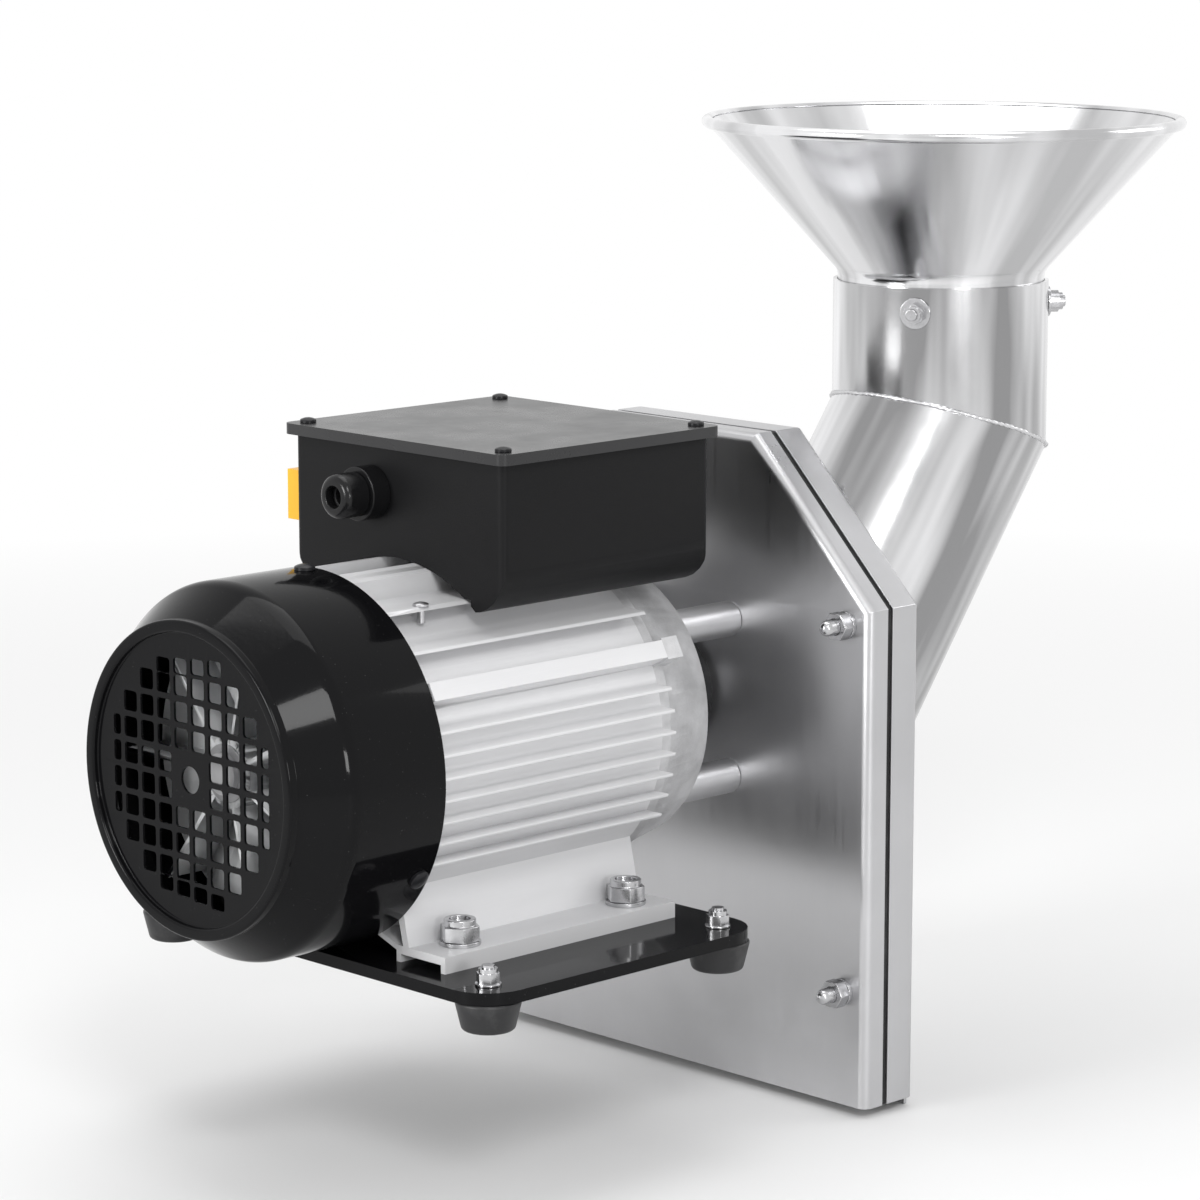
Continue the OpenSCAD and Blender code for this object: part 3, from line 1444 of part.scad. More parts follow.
place() fan_cowl();
place() cowl_screws();
place() cooling_fan();
place() fan_circlip();
place() rear_end_shield();
place() motor_frame();
place() front_end_shield();
place() shield_screws();
place() stator_core();
place() stator_windings();
place() rotor_core();
place() motor_shaft();
place() bearing_outer_races();
place() bearing_inner_races();
place() bearing_balls();
place() wave_washer();
place() shaft_seal();
place() shaft_key();
place() spacer_pillars();
place() pillar_bolts();
place() terminal_box();
place() box_screws();
place() lid_gasket();
place() box_lid();
place() lid_screws();
place() cable_gland();
place() gland_nut();
place() gland_seal();
place() capacitors();
place() capacitor_clips();
place() terminal_board();
place() switch_body();
place() cover_hinge();
place() cover_pin();
place() switch_cover();
place() start_button();
place() stop_button();
place() button_springs();
place() earth_screw();
place() base_plate();
place() motor_foot_bolts();
place() motor_foot_nuts();
place() rubber_feet();
place() foot_studs();
place() m6_nuts();
place() flat_washers();
place() housing_back();
place() housing_gasket();
place() housing_cover();
place() housing_bolts();
place() spring_washers();
place() housing_nuts();
place() housing_seal();
place() cutter_hub();
place() cutter_disc();
place() cutter_knives();
place() cutter_fasteners();
place() feed_pipe();
place() funnel();
place() funnel_screws();
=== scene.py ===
"""Looks of an electric fruit crusher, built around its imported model."""

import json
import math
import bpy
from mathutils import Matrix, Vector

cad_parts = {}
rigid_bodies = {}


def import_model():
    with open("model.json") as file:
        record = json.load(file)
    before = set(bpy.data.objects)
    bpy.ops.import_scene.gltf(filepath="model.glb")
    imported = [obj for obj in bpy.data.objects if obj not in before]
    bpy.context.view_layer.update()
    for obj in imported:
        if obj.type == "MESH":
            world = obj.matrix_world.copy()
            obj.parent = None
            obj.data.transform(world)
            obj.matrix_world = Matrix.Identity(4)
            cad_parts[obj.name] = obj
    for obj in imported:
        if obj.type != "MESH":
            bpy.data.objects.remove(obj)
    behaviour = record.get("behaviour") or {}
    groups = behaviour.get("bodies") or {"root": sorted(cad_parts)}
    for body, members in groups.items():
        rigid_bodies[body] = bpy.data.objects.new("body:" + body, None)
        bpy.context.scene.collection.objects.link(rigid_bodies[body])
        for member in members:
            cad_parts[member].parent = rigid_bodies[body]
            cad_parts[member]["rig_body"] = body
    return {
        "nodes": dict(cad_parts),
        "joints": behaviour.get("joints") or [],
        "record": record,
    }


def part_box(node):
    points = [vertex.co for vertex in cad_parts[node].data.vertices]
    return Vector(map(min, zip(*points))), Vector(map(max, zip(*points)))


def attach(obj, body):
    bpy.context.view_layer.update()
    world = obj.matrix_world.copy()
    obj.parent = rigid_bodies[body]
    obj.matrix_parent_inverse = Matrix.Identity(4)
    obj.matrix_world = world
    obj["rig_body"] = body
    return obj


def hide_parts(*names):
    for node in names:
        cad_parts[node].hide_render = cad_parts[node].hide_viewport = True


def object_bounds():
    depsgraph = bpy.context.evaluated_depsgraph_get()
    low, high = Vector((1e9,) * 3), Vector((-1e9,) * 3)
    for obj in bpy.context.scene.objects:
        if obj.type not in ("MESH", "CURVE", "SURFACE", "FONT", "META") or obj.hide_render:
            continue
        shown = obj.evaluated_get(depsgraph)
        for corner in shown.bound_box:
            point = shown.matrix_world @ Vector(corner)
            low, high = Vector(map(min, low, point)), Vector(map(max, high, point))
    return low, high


bl_info = {
    "name": "Fruit Crusher",
    "version": (1, 0, 0),
    "blender": (4, 5, 0),
    "location": "View3D > Sidebar > Fruit Crusher",
    "description": "Dresses the motor, the steel housing, the feed pipe and the funnel of a fruit crusher",
    "category": "Object",
}

import bmesh
import bpy
from bpy.props import FloatProperty, FloatVectorProperty, IntProperty, PointerProperty
from mathutils import Matrix, Vector, noise

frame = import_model()
CAD_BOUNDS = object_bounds()
MM = 0.001
JOINTS = {joint["name"]: joint for joint in frame["joints"]}
SHAFT = Vector(JOINTS["spindle_turn"]["pos_m"])
ALONG_SHAFT = Vector((1, 0, 0))
UP = Vector((0, 0, 1))


def low(node):
    """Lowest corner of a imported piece."""
    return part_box(node)[0]


def high(node):
    """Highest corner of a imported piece."""
    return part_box(node)[1]


def middle(node):
    """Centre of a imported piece's box."""
    return (low(node) + high(node)) / 2


# Shader maths


class Signal:
    """A socket of a node tree; Python's operators on it add Math nodes."""

    def __init__(self, nodes, socket):
        self.nodes = nodes
        self.socket = socket

    def __add__(self, other):
        return self.nodes.math("ADD", self, other)

    def __rsub__(self, other):
        return self.nodes.math("SUBTRACT", other, self)

    def __mul__(self, other):
        return self.nodes.math("MULTIPLY", self, other)


class Nodes:
    """A node tree that Python expressions fill."""

    def __init__(self, tree):
        self.tree = tree

    def add(self, kind, output, settings=None, **inputs):
        """One node of the given kind: settings first, then its sockets' values or links."""
        made = self.tree.nodes.new("ShaderNode" + kind)
        for key, value in (settings or {}).items():
            setattr(made, key, value)
        for key, value in inputs.items():
            numbered = key[0] == "i" and key[1:].isdigit()
            self.feed(made.inputs[int(key[1:]) if numbered else key], value)
        return Signal(self, made.outputs[output])

    def feed(self, socket, value):
        """Sets a socket to a number or colour, or links a signal to it."""
        if isinstance(value, Signal):
            self.tree.links.new(value.socket, socket)
        else:
            socket.default_value = value

    def math(self, operation, *values):
        """A Math node on signals and numbers."""
        return self.add("Math", 0, {"operation": operation}, **{f"i{n}": v for n, v in enumerate(values)})

    def vector_math(self, operation, *values, output=0):
        """A Vector Math node on signals and vectors."""
        inputs = {f"i{n}": v for n, v in enumerate(values)}
        return self.add("VectorMath", output, {"operation": operation}, **inputs)


class Finish(Nodes):
    """A material with one Principled shader."""

    def __init__(self, name, color, roughness, metallic=0.0, **more):
        self.material = bpy.data.materials.new(name)
        self.material.use_nodes = True
        self.material.diffuse_color = (*color, 1)
        super().__init__(self.material.node_tree)
        self.shader = self.tree.nodes["Principled BSDF"]
        self.shader.inputs["Base Color"].default_value = (*color, 1)
        self.shader.inputs["Roughness"].default_value = roughness
        self.shader.inputs["Metallic"].default_value = metallic
        for socket, value in more.items():
            self.shader.inputs[socket.replace("_", " ").title().replace("Ior", "IOR")].default_value = value

    def place(self, scale=(1, 1, 1), turn=(0, 0, 0), offset=(0, 0, 0)):
        """Object coordinates, moved, turned and scaled."""
        spot = self.add("TexCoord", "Object")
        return self.add("Mapping", 0, Vector=spot, Location=offset, Rotation=turn, Scale=scale)

    def speckle(self, spot, scale, detail, rough=0.5):
        """Noise between 0 and 1."""
        return self.add("TexNoise", "Fac", Vector=spot, Scale=scale, Detail=detail, Roughness=rough)

    def ramp(self, value, low_at, high_at):
        """Value stretched so that low_at gives 0 and high_at gives 1, and clamped."""
        ends = {"From Min": low_at, "From Max": high_at}
        return self.add("MapRange", 0, {"clamp": True}, Value=value, **ends)

    def blend(self, share, first, second):
        """Mix of two colours by a share."""
        made = self.tree.nodes.new("ShaderNodeMix")
        made.data_type = "RGBA"
        self.feed(made.inputs[0], share)
        for socket, value in ((made.inputs[6], first), (made.inputs[7], second)):
            self.feed(socket, value if isinstance(value, Signal) else (*value, 1))
        return Signal(self, made.outputs[2])

    def colored(self, value):
        """Links the base colour."""
        self.feed(self.shader.inputs["Base Color"], value)

    def rough(self, value):
        """Links the roughness."""
        self.feed(self.shader.inputs["Roughness"], value)

    def bumped(self, height, strength, distance):
        """Adds a bump from a height signal, and gives back the finish."""
        bump = self.add("Bump", 0, Height=height, Strength=strength, Distance=distance)
        self.feed(self.shader.inputs["Normal"], bump)
        return self


def tone(color, factor):
    """A colour made lighter or darker."""
    return tuple(min(1.0, part * factor) for part in color)


DUST = (0.2, 0.2, 0.2)
BLOOM = (0.09, 0.09, 0.09)


def enamel(name, color, roughness):
    """Glossy enamel with a faint orange peel and a few dust marks."""
    made = Finish(name, color, roughness, coat_weight=0.16, coat_roughness=0.05, specular_ior_level=0.04)
    peel = made.speckle(made.place(), scale=420, detail=1.5)
    haze = made.speckle(made.place(offset=(3, 1, 2)), scale=18, detail=4)
    dust = made.ramp(made.speckle(made.place(offset=(1, 5, 2)), scale=900, detail=1), 0.76, 0.8)
    made.colored(made.blend(dust * 0.2, color, DUST))
    made.rough(made.ramp(haze, 0.35, 0.8) * 0.07 + roughness)
    return made.bumped(peel, strength=0.06, distance=0.4 * MM)


def moulding(name, color, roughness, grain=0.12, grain_scale=1500, **more):
    """Moulded plastic with a fine sand-blasted grain and slight handling marks."""
    made = Finish(name, color, roughness, **more)
    sand = made.speckle(made.place(), scale=grain_scale, detail=2)
    marks = made.speckle(made.place(offset=(2, 2, 7)), scale=30, detail=5, rough=0.6)
    made.colored(made.blend(made.ramp(marks, 0.4, 0.75) * 0.25, color, tone(color, 1.35)))
    made.rough(made.ramp(marks, 0.3, 0.8) * 0.12 + roughness)
    return made.bumped(sand, strength=grain, distance=0.3 * MM)


def rubber(name, color, roughness):
    """Moulded rubber with a dusty bloom."""
    made = Finish(name, color, roughness, specular_ior_level=0.35)
    bloom = made.speckle(made.place(), scale=55, detail=6, rough=0.65)
    made.colored(made.blend(made.ramp(bloom, 0.5, 0.85) * 0.5, color, BLOOM))
    return made.bumped(made.speckle(made.place(), scale=900, detail=2), strength=0.15, distance=0.3 * MM)


def brushed(name, color, roughness, stretch, strength=0.12, cloud=0.1):
    """Satin steel: fine lines along one way, and soft clouds of handling and heat."""
    made = Finish(name, color, roughness, metallic=1.0)
    lines = made.speckle(made.place(stretch), scale=1, detail=4, rough=0.6)
    clouds = made.speckle(made.place(offset=(4, 1, 3)), scale=9, detail=5, rough=0.55)
    made.colored(made.blend(made.ramp(clouds, 0.3, 0.75), tone(color, 0.9), tone(color, 1.06)))
    made.rough(lines * strength + (made.ramp(clouds, 0.3, 0.8) * cloud + roughness))
    return made.bumped(lines, strength=0.05, distance=0.2 * MM)


def cast_metal(name, color, roughness):
    """Sand-cast aluminium: pitted skin, dull patches and brighter rubbed spots."""
    made = Finish(name, color, roughness, metallic=0.4)
    pits = made.speckle(made.place(), scale=700, detail=5, rough=0.7)
    patches = made.speckle(made.place(offset=(2, 0, 1)), scale=45, detail=6, rough=0.6)
    made.colored(made.blend(made.ramp(patches, 0.35, 0.75), tone(color, 0.72), tone(color, 1.1)))
    made.rough(made.ramp(patches, 0.3, 0.75) * 0.22 + (roughness - 0.1))
    return made.bumped(pits, strength=0.35, distance=0.5 * MM)


def extruded_metal(name, color, roughness):
    """Extruded aluminium: die lines along the shaft on a satin skin."""
    made = Finish(name, color, roughness, metallic=0.25)
    die = made.speckle(made.place((6, 900, 900)), scale=1, detail=3, rough=0.6)
    stain = made.speckle(made.place((4, 30, 30), offset=(1, 2, 3)), scale=1, detail=5, rough=0.6)
    made.colored(made.blend(made.ramp(stain, 0.4, 0.75) * 0.6, color, tone(color, 0.86)))
    made.rough(die * 0.12 + made.ramp(stain, 0.3, 0.8) * 0.1 + (roughness - 0.08))
    return made.bumped(die, strength=0.12, distance=0.3 * MM)


def bright_metal(name, color, roughness):
    """Bright fasteners with tool marks and small scratches."""
    made = Finish(name, color, roughness, metallic=1.0)
    scratch = made.speckle(made.place((300, 300, 1800)), scale=1, detail=4, rough=0.7)
    spots = made.speckle(made.place(), scale=220, detail=4, rough=0.6)
    made.colored(made.blend(made.ramp(spots, 0.45, 0.75) * 0.6, color, tone(color, 0.75)))
    made.rough(scratch * 0.16 + (roughness - 0.03))
    return made.bumped(scratch, strength=0.08, distance=0.2 * MM)


def plain_metal(name, color, roughness):
    """Machined steel with a light variation."""
    made = Finish(name, color, roughness, metallic=1.0)
    spots = made.speckle(made.place(), scale=160, detail=4, rough=0.6)
    made.colored(made.blend(made.ramp(spots, 0.4, 0.75), color, tone(color, 0.8)))
    made.rough(spots * 0.15 + (roughness - 0.05))
    return made.bumped(spots, strength=0.04, distance=0.2 * MM)


# Modelling

CORNER_STEPS = 6
SHARP_ANGLE = math.radians(35)
BEVEL_ANGLE = math.radians(30)
FLAT_ANGLE = math.radians(0.5)
SAME_POINT = 1e-6
END_NORMAL = 0.99


def fillet(points):
    """Corners given as (along, out, radius) turned into a polyline with round corners."""
    line = []
    for index, (x, r, radius) in enumerate(points):
        corner = Vector((x, r))
        if radius == 0 or index in (0, len(points) - 1):
            line.append(corner)
            continue
        before = (Vector(points[index - 1][:2]) - corner).normalized()
        after = (Vector(points[index + 1][:2]) - corner).normalized()
        half = before.angle(after) / 2
        centre = corner + (before + after).normalized() * radius / math.sin(half)
        start = corner + before * radius / math.tan(half) - centre
        turn = before.angle_signed(after)
        sweep = math.copysign(math.pi - abs(turn), turn)
        steps = range(CORNER_STEPS + 1)
        line += [centre + Matrix.Rotation(sweep * n / CORNER_STEPS, 2) @ start for n in steps]
    return line


def spun(bm, geom, centre, axis, steps):
    """Spins geometry once round an axis through centre and joins its ends."""
    bmesh.ops.spin(bm, geom=geom, cent=centre, axis=axis, dvec=(0, 0, 0), angle=2 * math.pi, steps=steps,
                   use_merge=True, use_duplicate=False)


def turned(bm, outline, centre, axis, steps, closed=True):
    """Spins an outline of (along, out) points about an axis through centre."""
    side = axis.orthogonal().normalized()
    verts = [bm.verts.new(Vector(centre) + axis * point[0] + side * point[1]) for point in outline]
    pairs = list(zip(verts, verts[1:] + verts[:1])) if closed else list(zip(verts, verts[1:]))
    spun(bm, verts + [bm.edges.new(pair) for pair in pairs], centre, axis, steps)
    bmesh.ops.remove_doubles(bm, verts=bm.verts, dist=SAME_POINT)


def piece_from(bm, name, finish, body, replaces=()):
    """Makes a finished object of a bmesh, rides it on a body and gives it its material."""
    bmesh.ops.recalc_face_normals(bm, faces=bm.faces)
    mesh = bpy.data.meshes.new(name)
    bm.to_mesh(mesh)
    bm.free()
    mesh.shade_smooth()
    mesh.set_sharp_from_angle(angle=SHARP_ANGLE)
    made = bpy.data.objects.new(name, mesh)
    bpy.context.scene.collection.objects.link(made)
    mesh.materials.append(finish.material)
    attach(made, body)
    for node in replaces:
        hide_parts(node)
    return made


def soften(piece, width, segments):
    """Rounds a piece's edges."""
    bevel = piece.modifiers.new("soft_edges", "BEVEL")
    bevel.width = width
    bevel.segments = segments
    bevel.limit_method = "ANGLE"
    bevel.angle_limit = BEVEL_ANGLE
    bevel.harden_normals = True
    bevel.use_clamp_overlap = True


def merged_copy(node, whole_ends):
    """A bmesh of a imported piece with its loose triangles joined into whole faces.

    Faces that look along the shaft stay in triangles unless whole_ends is true, because a merged one with
    very many corners is filled wrongly."""
    bm = bmesh.new()
    bm.from_mesh(frame["nodes"][node].data)
    bmesh.ops.remove_doubles(bm, verts=bm.verts, dist=2 * SAME_POINT)
    edges = [edge for edge in bm.edges
             if whole_ends or any(abs(face.normal.x) < END_NORMAL for face in edge.link_faces)]
    bmesh.ops.dissolve_limit(bm, angle_limit=FLAT_ANGLE, verts=bm.verts, edges=edges,
                             use_dissolve_boundaries=False, delimit={"NORMAL"})
    return bm


def baked(piece):
    """Applies a piece's modifiers to its mesh."""
    graph = bpy.context.evaluated_depsgraph_get()
    mesh = bpy.data.meshes.new_from_object(piece.evaluated_get(graph))
    piece.modifiers.clear()
    old = piece.data
    piece.data = mesh
    bpy.data.meshes.remove(old)


def cut(piece, cutter_bm):
    """Cuts closed shapes out of a piece."""
    mesh = bpy.data.meshes.new("cutter")
    cutter_bm.to_mesh(mesh)
    cutter_bm.free()
    cutter = bpy.data.objects.new("cutter", mesh)
    bpy.context.scene.collection.objects.link(cutter)
    trim = piece.modifiers.new("holes", "BOOLEAN")
    trim.operation = "DIFFERENCE"
    trim.solver = "MANIFOLD"
    trim.object = cutter
    baked(piece)
    bpy.data.objects.remove(cutter)
    bpy.data.meshes.remove(mesh)


def arc(centre, radius, first, last, steps):
    """Points (along, out) of an arc, whose angles start at the outward direction and grow towards along."""
    angles = [first + (last - first) * n / steps for n in range(steps + 1)]
    return [Vector((centre[0] + radius * math.sin(a), centre[1] + radius * math.cos(a))) for a in angles]


def projected(verts, direction, point, normal):
    """Slides vertices along a direction onto a plane."""
    for vert in verts:
        vert.co += direction * ((point - vert.co).dot(normal) / direction.dot(normal))


# Colours and sizes


def color_value(name, words, value):
    """A colour that a user may change."""
    return FloatVectorProperty(name=name, description=words, subtype="COLOR", size=3, min=0, max=1,
                               default=value)


def length_value(name, words, value):
    """A length that a user may change."""
    return FloatProperty(name=name, description=words, subtype="DISTANCE", unit="LENGTH", min=0,
                         default=value)


class CrusherColors(bpy.types.PropertyGroup):
    """Colours of the crusher's finishes."""

    enamel: color_value("Enamel", "Cowl and base plate", (0.004, 0.004, 0.0045))
    extrusion: color_value("Extrusion", "Motor frame with its fins", (0.67, 0.67, 0.68))
    casting: color_value("Casting", "End shields", (0.60, 0.60, 0.61))
    sheet: color_value("Sheet steel", "Housing trays", (0.52, 0.52, 0.53))
    tube: color_value("Tube steel", "Feed pipe", (0.74, 0.74, 0.75))
    spun: color_value("Spun steel", "Funnel", (0.76, 0.76, 0.77))
    fastener: color_value("Fasteners", "Nuts, bolts and washers", (0.50, 0.50, 0.51))
    box: color_value("Terminal box", "Box moulding", (0.007, 0.007, 0.0075))
    lid: color_value("Box lid", "Lid moulding", (0.022, 0.022, 0.023))
    fan: color_value("Fan", "Cooling fan moulding", (0.74, 0.75, 0.76))
    rubber: color_value("Rubber", "Feet and gasket", (0.016, 0.016, 0.017))
    yellow: color_value("Switch cover", "Flip-up cover", (0.85, 0.45, 0.02))
    red: color_value("Stop red", "Stop button and hinge", (0.55, 0.02, 0.02))
    green: color_value("Start green", "Start button", (0.04, 0.30, 0.07))
    copper: color_value("Copper", "Windings", (0.60, 0.28, 0.12))


class CrusherSizes(bpy.types.PropertyGroup):
    """Sizes of the shapes that the crusher's looks add to its construction."""

    bead: length_value("Bead", "Height of the cowl's bead", 3 * MM)
    bead_ring: length_value("Bead ring", "Outer radius of the bead round the grille", 75.5 * MM)
    cone: length_value("Cone", "Length of the cowl's cone", 23 * MM)
    ridge: length_value("Ridge", "Rounding between the cowl's cone and its cylinder", 13 * MM)
    cowl_wall: length_value("Cowl sheet", "Sheet thickness of the cowl", 1.2 * MM)
    hub_hole: length_value("Hub hole", "Radius of the hole in the grille's middle", 6.5 * MM)
    grille_pitch: length_value("Grille pitch", "Distance between the grille's holes", 12.5 * MM)
    grille_hole: length_value("Grille hole", "Side of a square hole", 9.75 * MM)
    hole_corner: length_value("Hole corner", "Corner radius of a square hole", 1.6 * MM)
    weld: length_value("Weld", "Half width of the weld beads", 1.7 * MM)
    pipe_wall: length_value("Pipe wall", "Wall of the feed pipe", 2 * MM)
    funnel_wall: length_value("Funnel sheet", "Sheet thickness of the funnel", 1.2 * MM)
    funnel_neck: length_value("Funnel neck", "Straight part of the funnel above the pipe", 4.5 * MM)
    rim: length_value("Rim", "Radius of the funnel's rolled rim", 3 * MM)
    foot_edge: length_value("Foot edge", "Rounding of the rubber feet", 2.4 * MM)
    pipe_bend: FloatProperty(name="Pipe bend", description="Angle between the two pipes", subtype="ANGLE",
                             default=math.radians(37))
    grille_rows: IntProperty(name="Grille rows", description="Rows of holes in the cowl", default=10, min=2)


def sizes():
    """The sizes that a user may change."""
    return bpy.context.scene.crusher_sizes


def colors():
    """The colours that a user may change."""
    return bpy.context.scene.crusher_colors


# Finishes of round steel with painted reflections, and of the slots

MITRE_BLEND = 0.4 * MM
REFLECTION_STRIP_DRIFT = 1.5


def steel_with_painted_reflections(name, color, roughness, centre, tilts, reflection_strips, reflection_contrast):
    """Polished steel of revolution: painted reflections, soft light and dark bands in the base colour along
    its wall.

    The first tilt is the upper tube's, and the next one that of the tube below the mitre."""
    made = Finish(name, color, roughness, metallic=1.0)
    painted_reflection_bands = None
    for angle in tilts:
        spot = made.place(turn=(0, angle, 0), offset=Matrix.Rotation(angle, 3, "Y") @ -centre)
        flat = made.vector_math("MULTIPLY", spot, (1, 1, 0))
        ring = made.vector_math("NORMALIZE", flat)
        drift = made.vector_math("MULTIPLY", spot, (0, 0, REFLECTION_STRIP_DRIFT))
        lane = made.vector_math("ADD", ring, drift)
        painted_reflection_band = made.speckle(lane, scale=reflection_strips, detail=3, rough=0.55)
        if painted_reflection_bands is None:
            painted_reflection_bands = painted_reflection_band
        else:
            half = angle / 2
            plane = made.place(turn=(0, half, 0), offset=Matrix.Rotation(half, 3, "Y") @ -centre)
            height = made.add("SeparateXYZ", 2, Vector=plane)
            below = made.ramp(height, 0, -MITRE_BLEND)
            painted_reflection_bands = painted_reflection_bands * (1 - below) + painted_reflection_band * below
    # Painted reflection: the base colour goes darker and lighter in bands round the wall, in place of the
    # surroundings mirrored in polished steel.
    painted_dark_reflection, painted_bright_reflection = tone(color, 1 - reflection_contrast), tone(color, 1 + reflection_contrast / 3)
    made.colored(made.blend(made.ramp(painted_reflection_bands, 0.38, 0.62), painted_dark_reflection, painted_bright_reflection))
    smear = made.speckle(made.place(offset=(1, 2, 5)), scale=26, detail=5, rough=0.6)
    made.rough(made.ramp(smear, 0.35, 0.8) * 0.10 + roughness)
    return made


def pipe_finish(name):
    """Polished tube with painted reflections in bands that turn with it at the mitre."""
    tilts = (0, -sizes().pipe_bend)
    return steel_with_painted_reflections(name, colors().tube, 0.13, mitre_point(), tilts, reflection_strips=1.5, reflection_contrast=0.6)


def funnel_finish(name):
    """Polished cone with painted reflections in bands from its neck to its rim."""
    return steel_with_painted_reflections(name, colors().spun, 0.12, middle("funnel"), (0,), reflection_strips=2.4, reflection_contrast=0.35)


SURFACES = {
    "black_enamel": lambda slot: enamel(slot, colors().enamel, 0.09),
    "black_screw": lambda slot: moulding(slot, tone(colors().enamel, 3), 0.28, 0.05, specular_ior_level=0.25),
    "fan_plastic": lambda slot: moulding(slot, colors().fan, 0.5),
    "spring_steel": lambda slot: plain_metal(slot, (0.45, 0.45, 0.46), 0.35),
    "cast_aluminium": lambda slot: cast_metal(slot, colors().casting, 0.5),
    "extruded_aluminium": lambda slot: extruded_metal(slot, colors().extrusion, 0.5),
    "zinc_steel": lambda slot: bright_metal(slot, (0.48, 0.48, 0.49), 0.3),
    "core_steel": lambda slot: brushed(slot, (0.34, 0.34, 0.35), 0.45, (2000, 40, 40)),
    "copper_wire": lambda slot: brushed(slot, colors().copper, 0.35, (60, 900, 900)),
    "ground_steel": lambda slot: brushed(slot, (0.64, 0.64, 0.65), 0.22, (1500, 30, 30)),
    "black_rubber": lambda slot: rubber(slot, colors().rubber, 0.6),
    "turned_steel": lambda slot: brushed(slot, (0.68, 0.68, 0.69), 0.24, (1400, 20, 20)),
    "bright_fasteners": lambda slot: bright_metal(slot, colors().fastener, 0.17),
    "box_plastic": lambda slot: moulding(slot, colors().box, 0.42, 0.2, 1300, specular_ior_level=0.12),
    "lid_plastic": lambda slot: moulding(slot, colors().lid, 0.24, 0.02, 1300, specular_ior_level=0.35),
    "gland_plastic": lambda slot: moulding(slot, colors().box, 0.16, 0.04, specular_ior_level=0.25),
    "capacitor_case": lambda slot: moulding(slot, (0.1, 0.1, 0.1), 0.5),
    "board_plastic": lambda slot: moulding(slot, (0.42, 0.36, 0.22), 0.55),
    "switch_plastic": lambda slot: moulding(slot, (0.03, 0.03, 0.03), 0.4),
    "red_plastic": lambda slot: moulding(slot, colors().red, 0.25, 0.05),
    "yellow_plastic": lambda slot: moulding(slot, colors().yellow, 0.3, 0.05),
    "green_plastic": lambda slot: moulding(slot, colors().green, 0.25, 0.05),
    "foot_rubber": lambda slot: rubber(slot, colors().rubber, 0.42),
    "housing_steel": lambda slot: brushed(slot, colors().sheet, 0.2, (500, 500, 9), 0.14, 0.16),
    "gasket_rubber": lambda slot: rubber(slot, tone(colors().rubber, 0.6), 0.7),
    "cutter_steel": lambda slot: brushed(slot, (0.68, 0.68, 0.7), 0.25, (900, 30, 30)),
    "pipe_steel": pipe_finish,
    "funnel_steel": funnel_finish,
}
MADE = {}
SLOTS = {part["node"]: part["material_slot"] for part in frame["record"]["subparts"]}


def surface(slot):
    """The finish of a material slot, made once."""
    if slot not in MADE:
        MADE[slot] = SURFACES[slot](slot)
    return MADE[slot]


def new_piece(bm, name, node):
    """A new piece that stands for a packed one, with its finish and its body."""
    slot = SLOTS[node]
    return piece_from(bm, name, surface(slot), frame["nodes"][node]["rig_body"], (node,))


def dress(*nodes, edge, segments=2, whole_ends=True):
    """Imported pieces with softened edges, or crisp ones where edge is zero, and their finish."""
    for node in nodes:
        made = new_piece(merged_copy(node, whole_ends), f"{node}_skin", node)
        if edge:
            soften(made, edge, segments)


def recolor(*nodes):
    """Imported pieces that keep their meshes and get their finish."""
    for node in nodes:
        piece = frame["nodes"][node]
        piece.data.materials.clear()
        piece.data.materials.append(surface(SLOTS[node]).material)


# Fan cowl

BEAD_BEND_SHARE = 0.45
GRILLE_REACH_SHARE = 0.87
GRILLE_EDGE_SHARE = 0.55


def cowl_profile(depth):
    """Half section of the cowl's sheet, drawn inwards by a depth."""
    size = sizes()
    face = low("fan_cowl").x + size.bead - SHAFT.x
    radius = (high("fan_cowl").y - low("fan_cowl").y) / 2
    inner_ring = size.bead_ring - 2 * size.bead
    bend = size.bead * BEAD_BEND_SHARE
    return fillet([
        (face + depth, size.hub_hole, 0),
        (face + depth, inner_ring + depth / 2, bend / 2),
        (face - size.bead + depth, inner_ring + depth / 2, bend),
        (face - size.bead + depth, size.bead_ring - depth, bend),
        (face + size.bead / 2 + depth, size.bead_ring - depth, bend / 2),
        (face + size.cone, radius - depth, size.ridge - depth),
        (high("fan_cowl").x - SHAFT.x, radius - depth, 0),
    ])


def grille_cutters():
    """Rounded square prisms, in rows that follow the grille's circle."""
    size = sizes()
    bm = bmesh.new()
    rows = size.grille_rows
    reach = (size.bead_ring - 2 * size.bead) * GRILLE_REACH_SHARE
    face = low("fan_cowl").x + size.bead
    for row in range(rows):
        z = ((rows - 1) / 2 - row) * size.grille_pitch
        for column in range(rows):
            y = (column - (rows - 1) / 2) * size.grille_pitch
            if max(abs(y), abs(z)) < size.grille_pitch or math.hypot(y, z) > reach:
                continue
            wide = size.grille_hole * (GRILLE_EDGE_SHARE if column in (0, rows - 1) else 1)
            tall = size.grille_hole * ((1 + GRILLE_EDGE_SHARE) / 2 if row in (0, rows - 1) else 1)
            y -= math.copysign((size.grille_hole - wide) / 2, y)
            z -= math.copysign((size.grille_hole - tall) / 2, z)
            spot = Matrix.Translation((face, SHAFT.y + y, SHAFT.z + z))
            stretch = Matrix.Diagonal((6 * size.cowl_wall, wide, tall, 1))
            cube = bmesh.ops.create_cube(bm, size=1, matrix=spot @ stretch)["verts"]
            corners = [edge for edge in {edge for vert in cube for edge in vert.link_edges}
                       if abs((edge.verts[0].co - edge.verts[1].co).x) > size.cowl_wall]
            bmesh.ops.bevel(bm, geom=corners, offset=size.hole_corner, offset_type="OFFSET", affect="EDGES",
                            segments=3, profile=0.5, material=-1)
    return bm


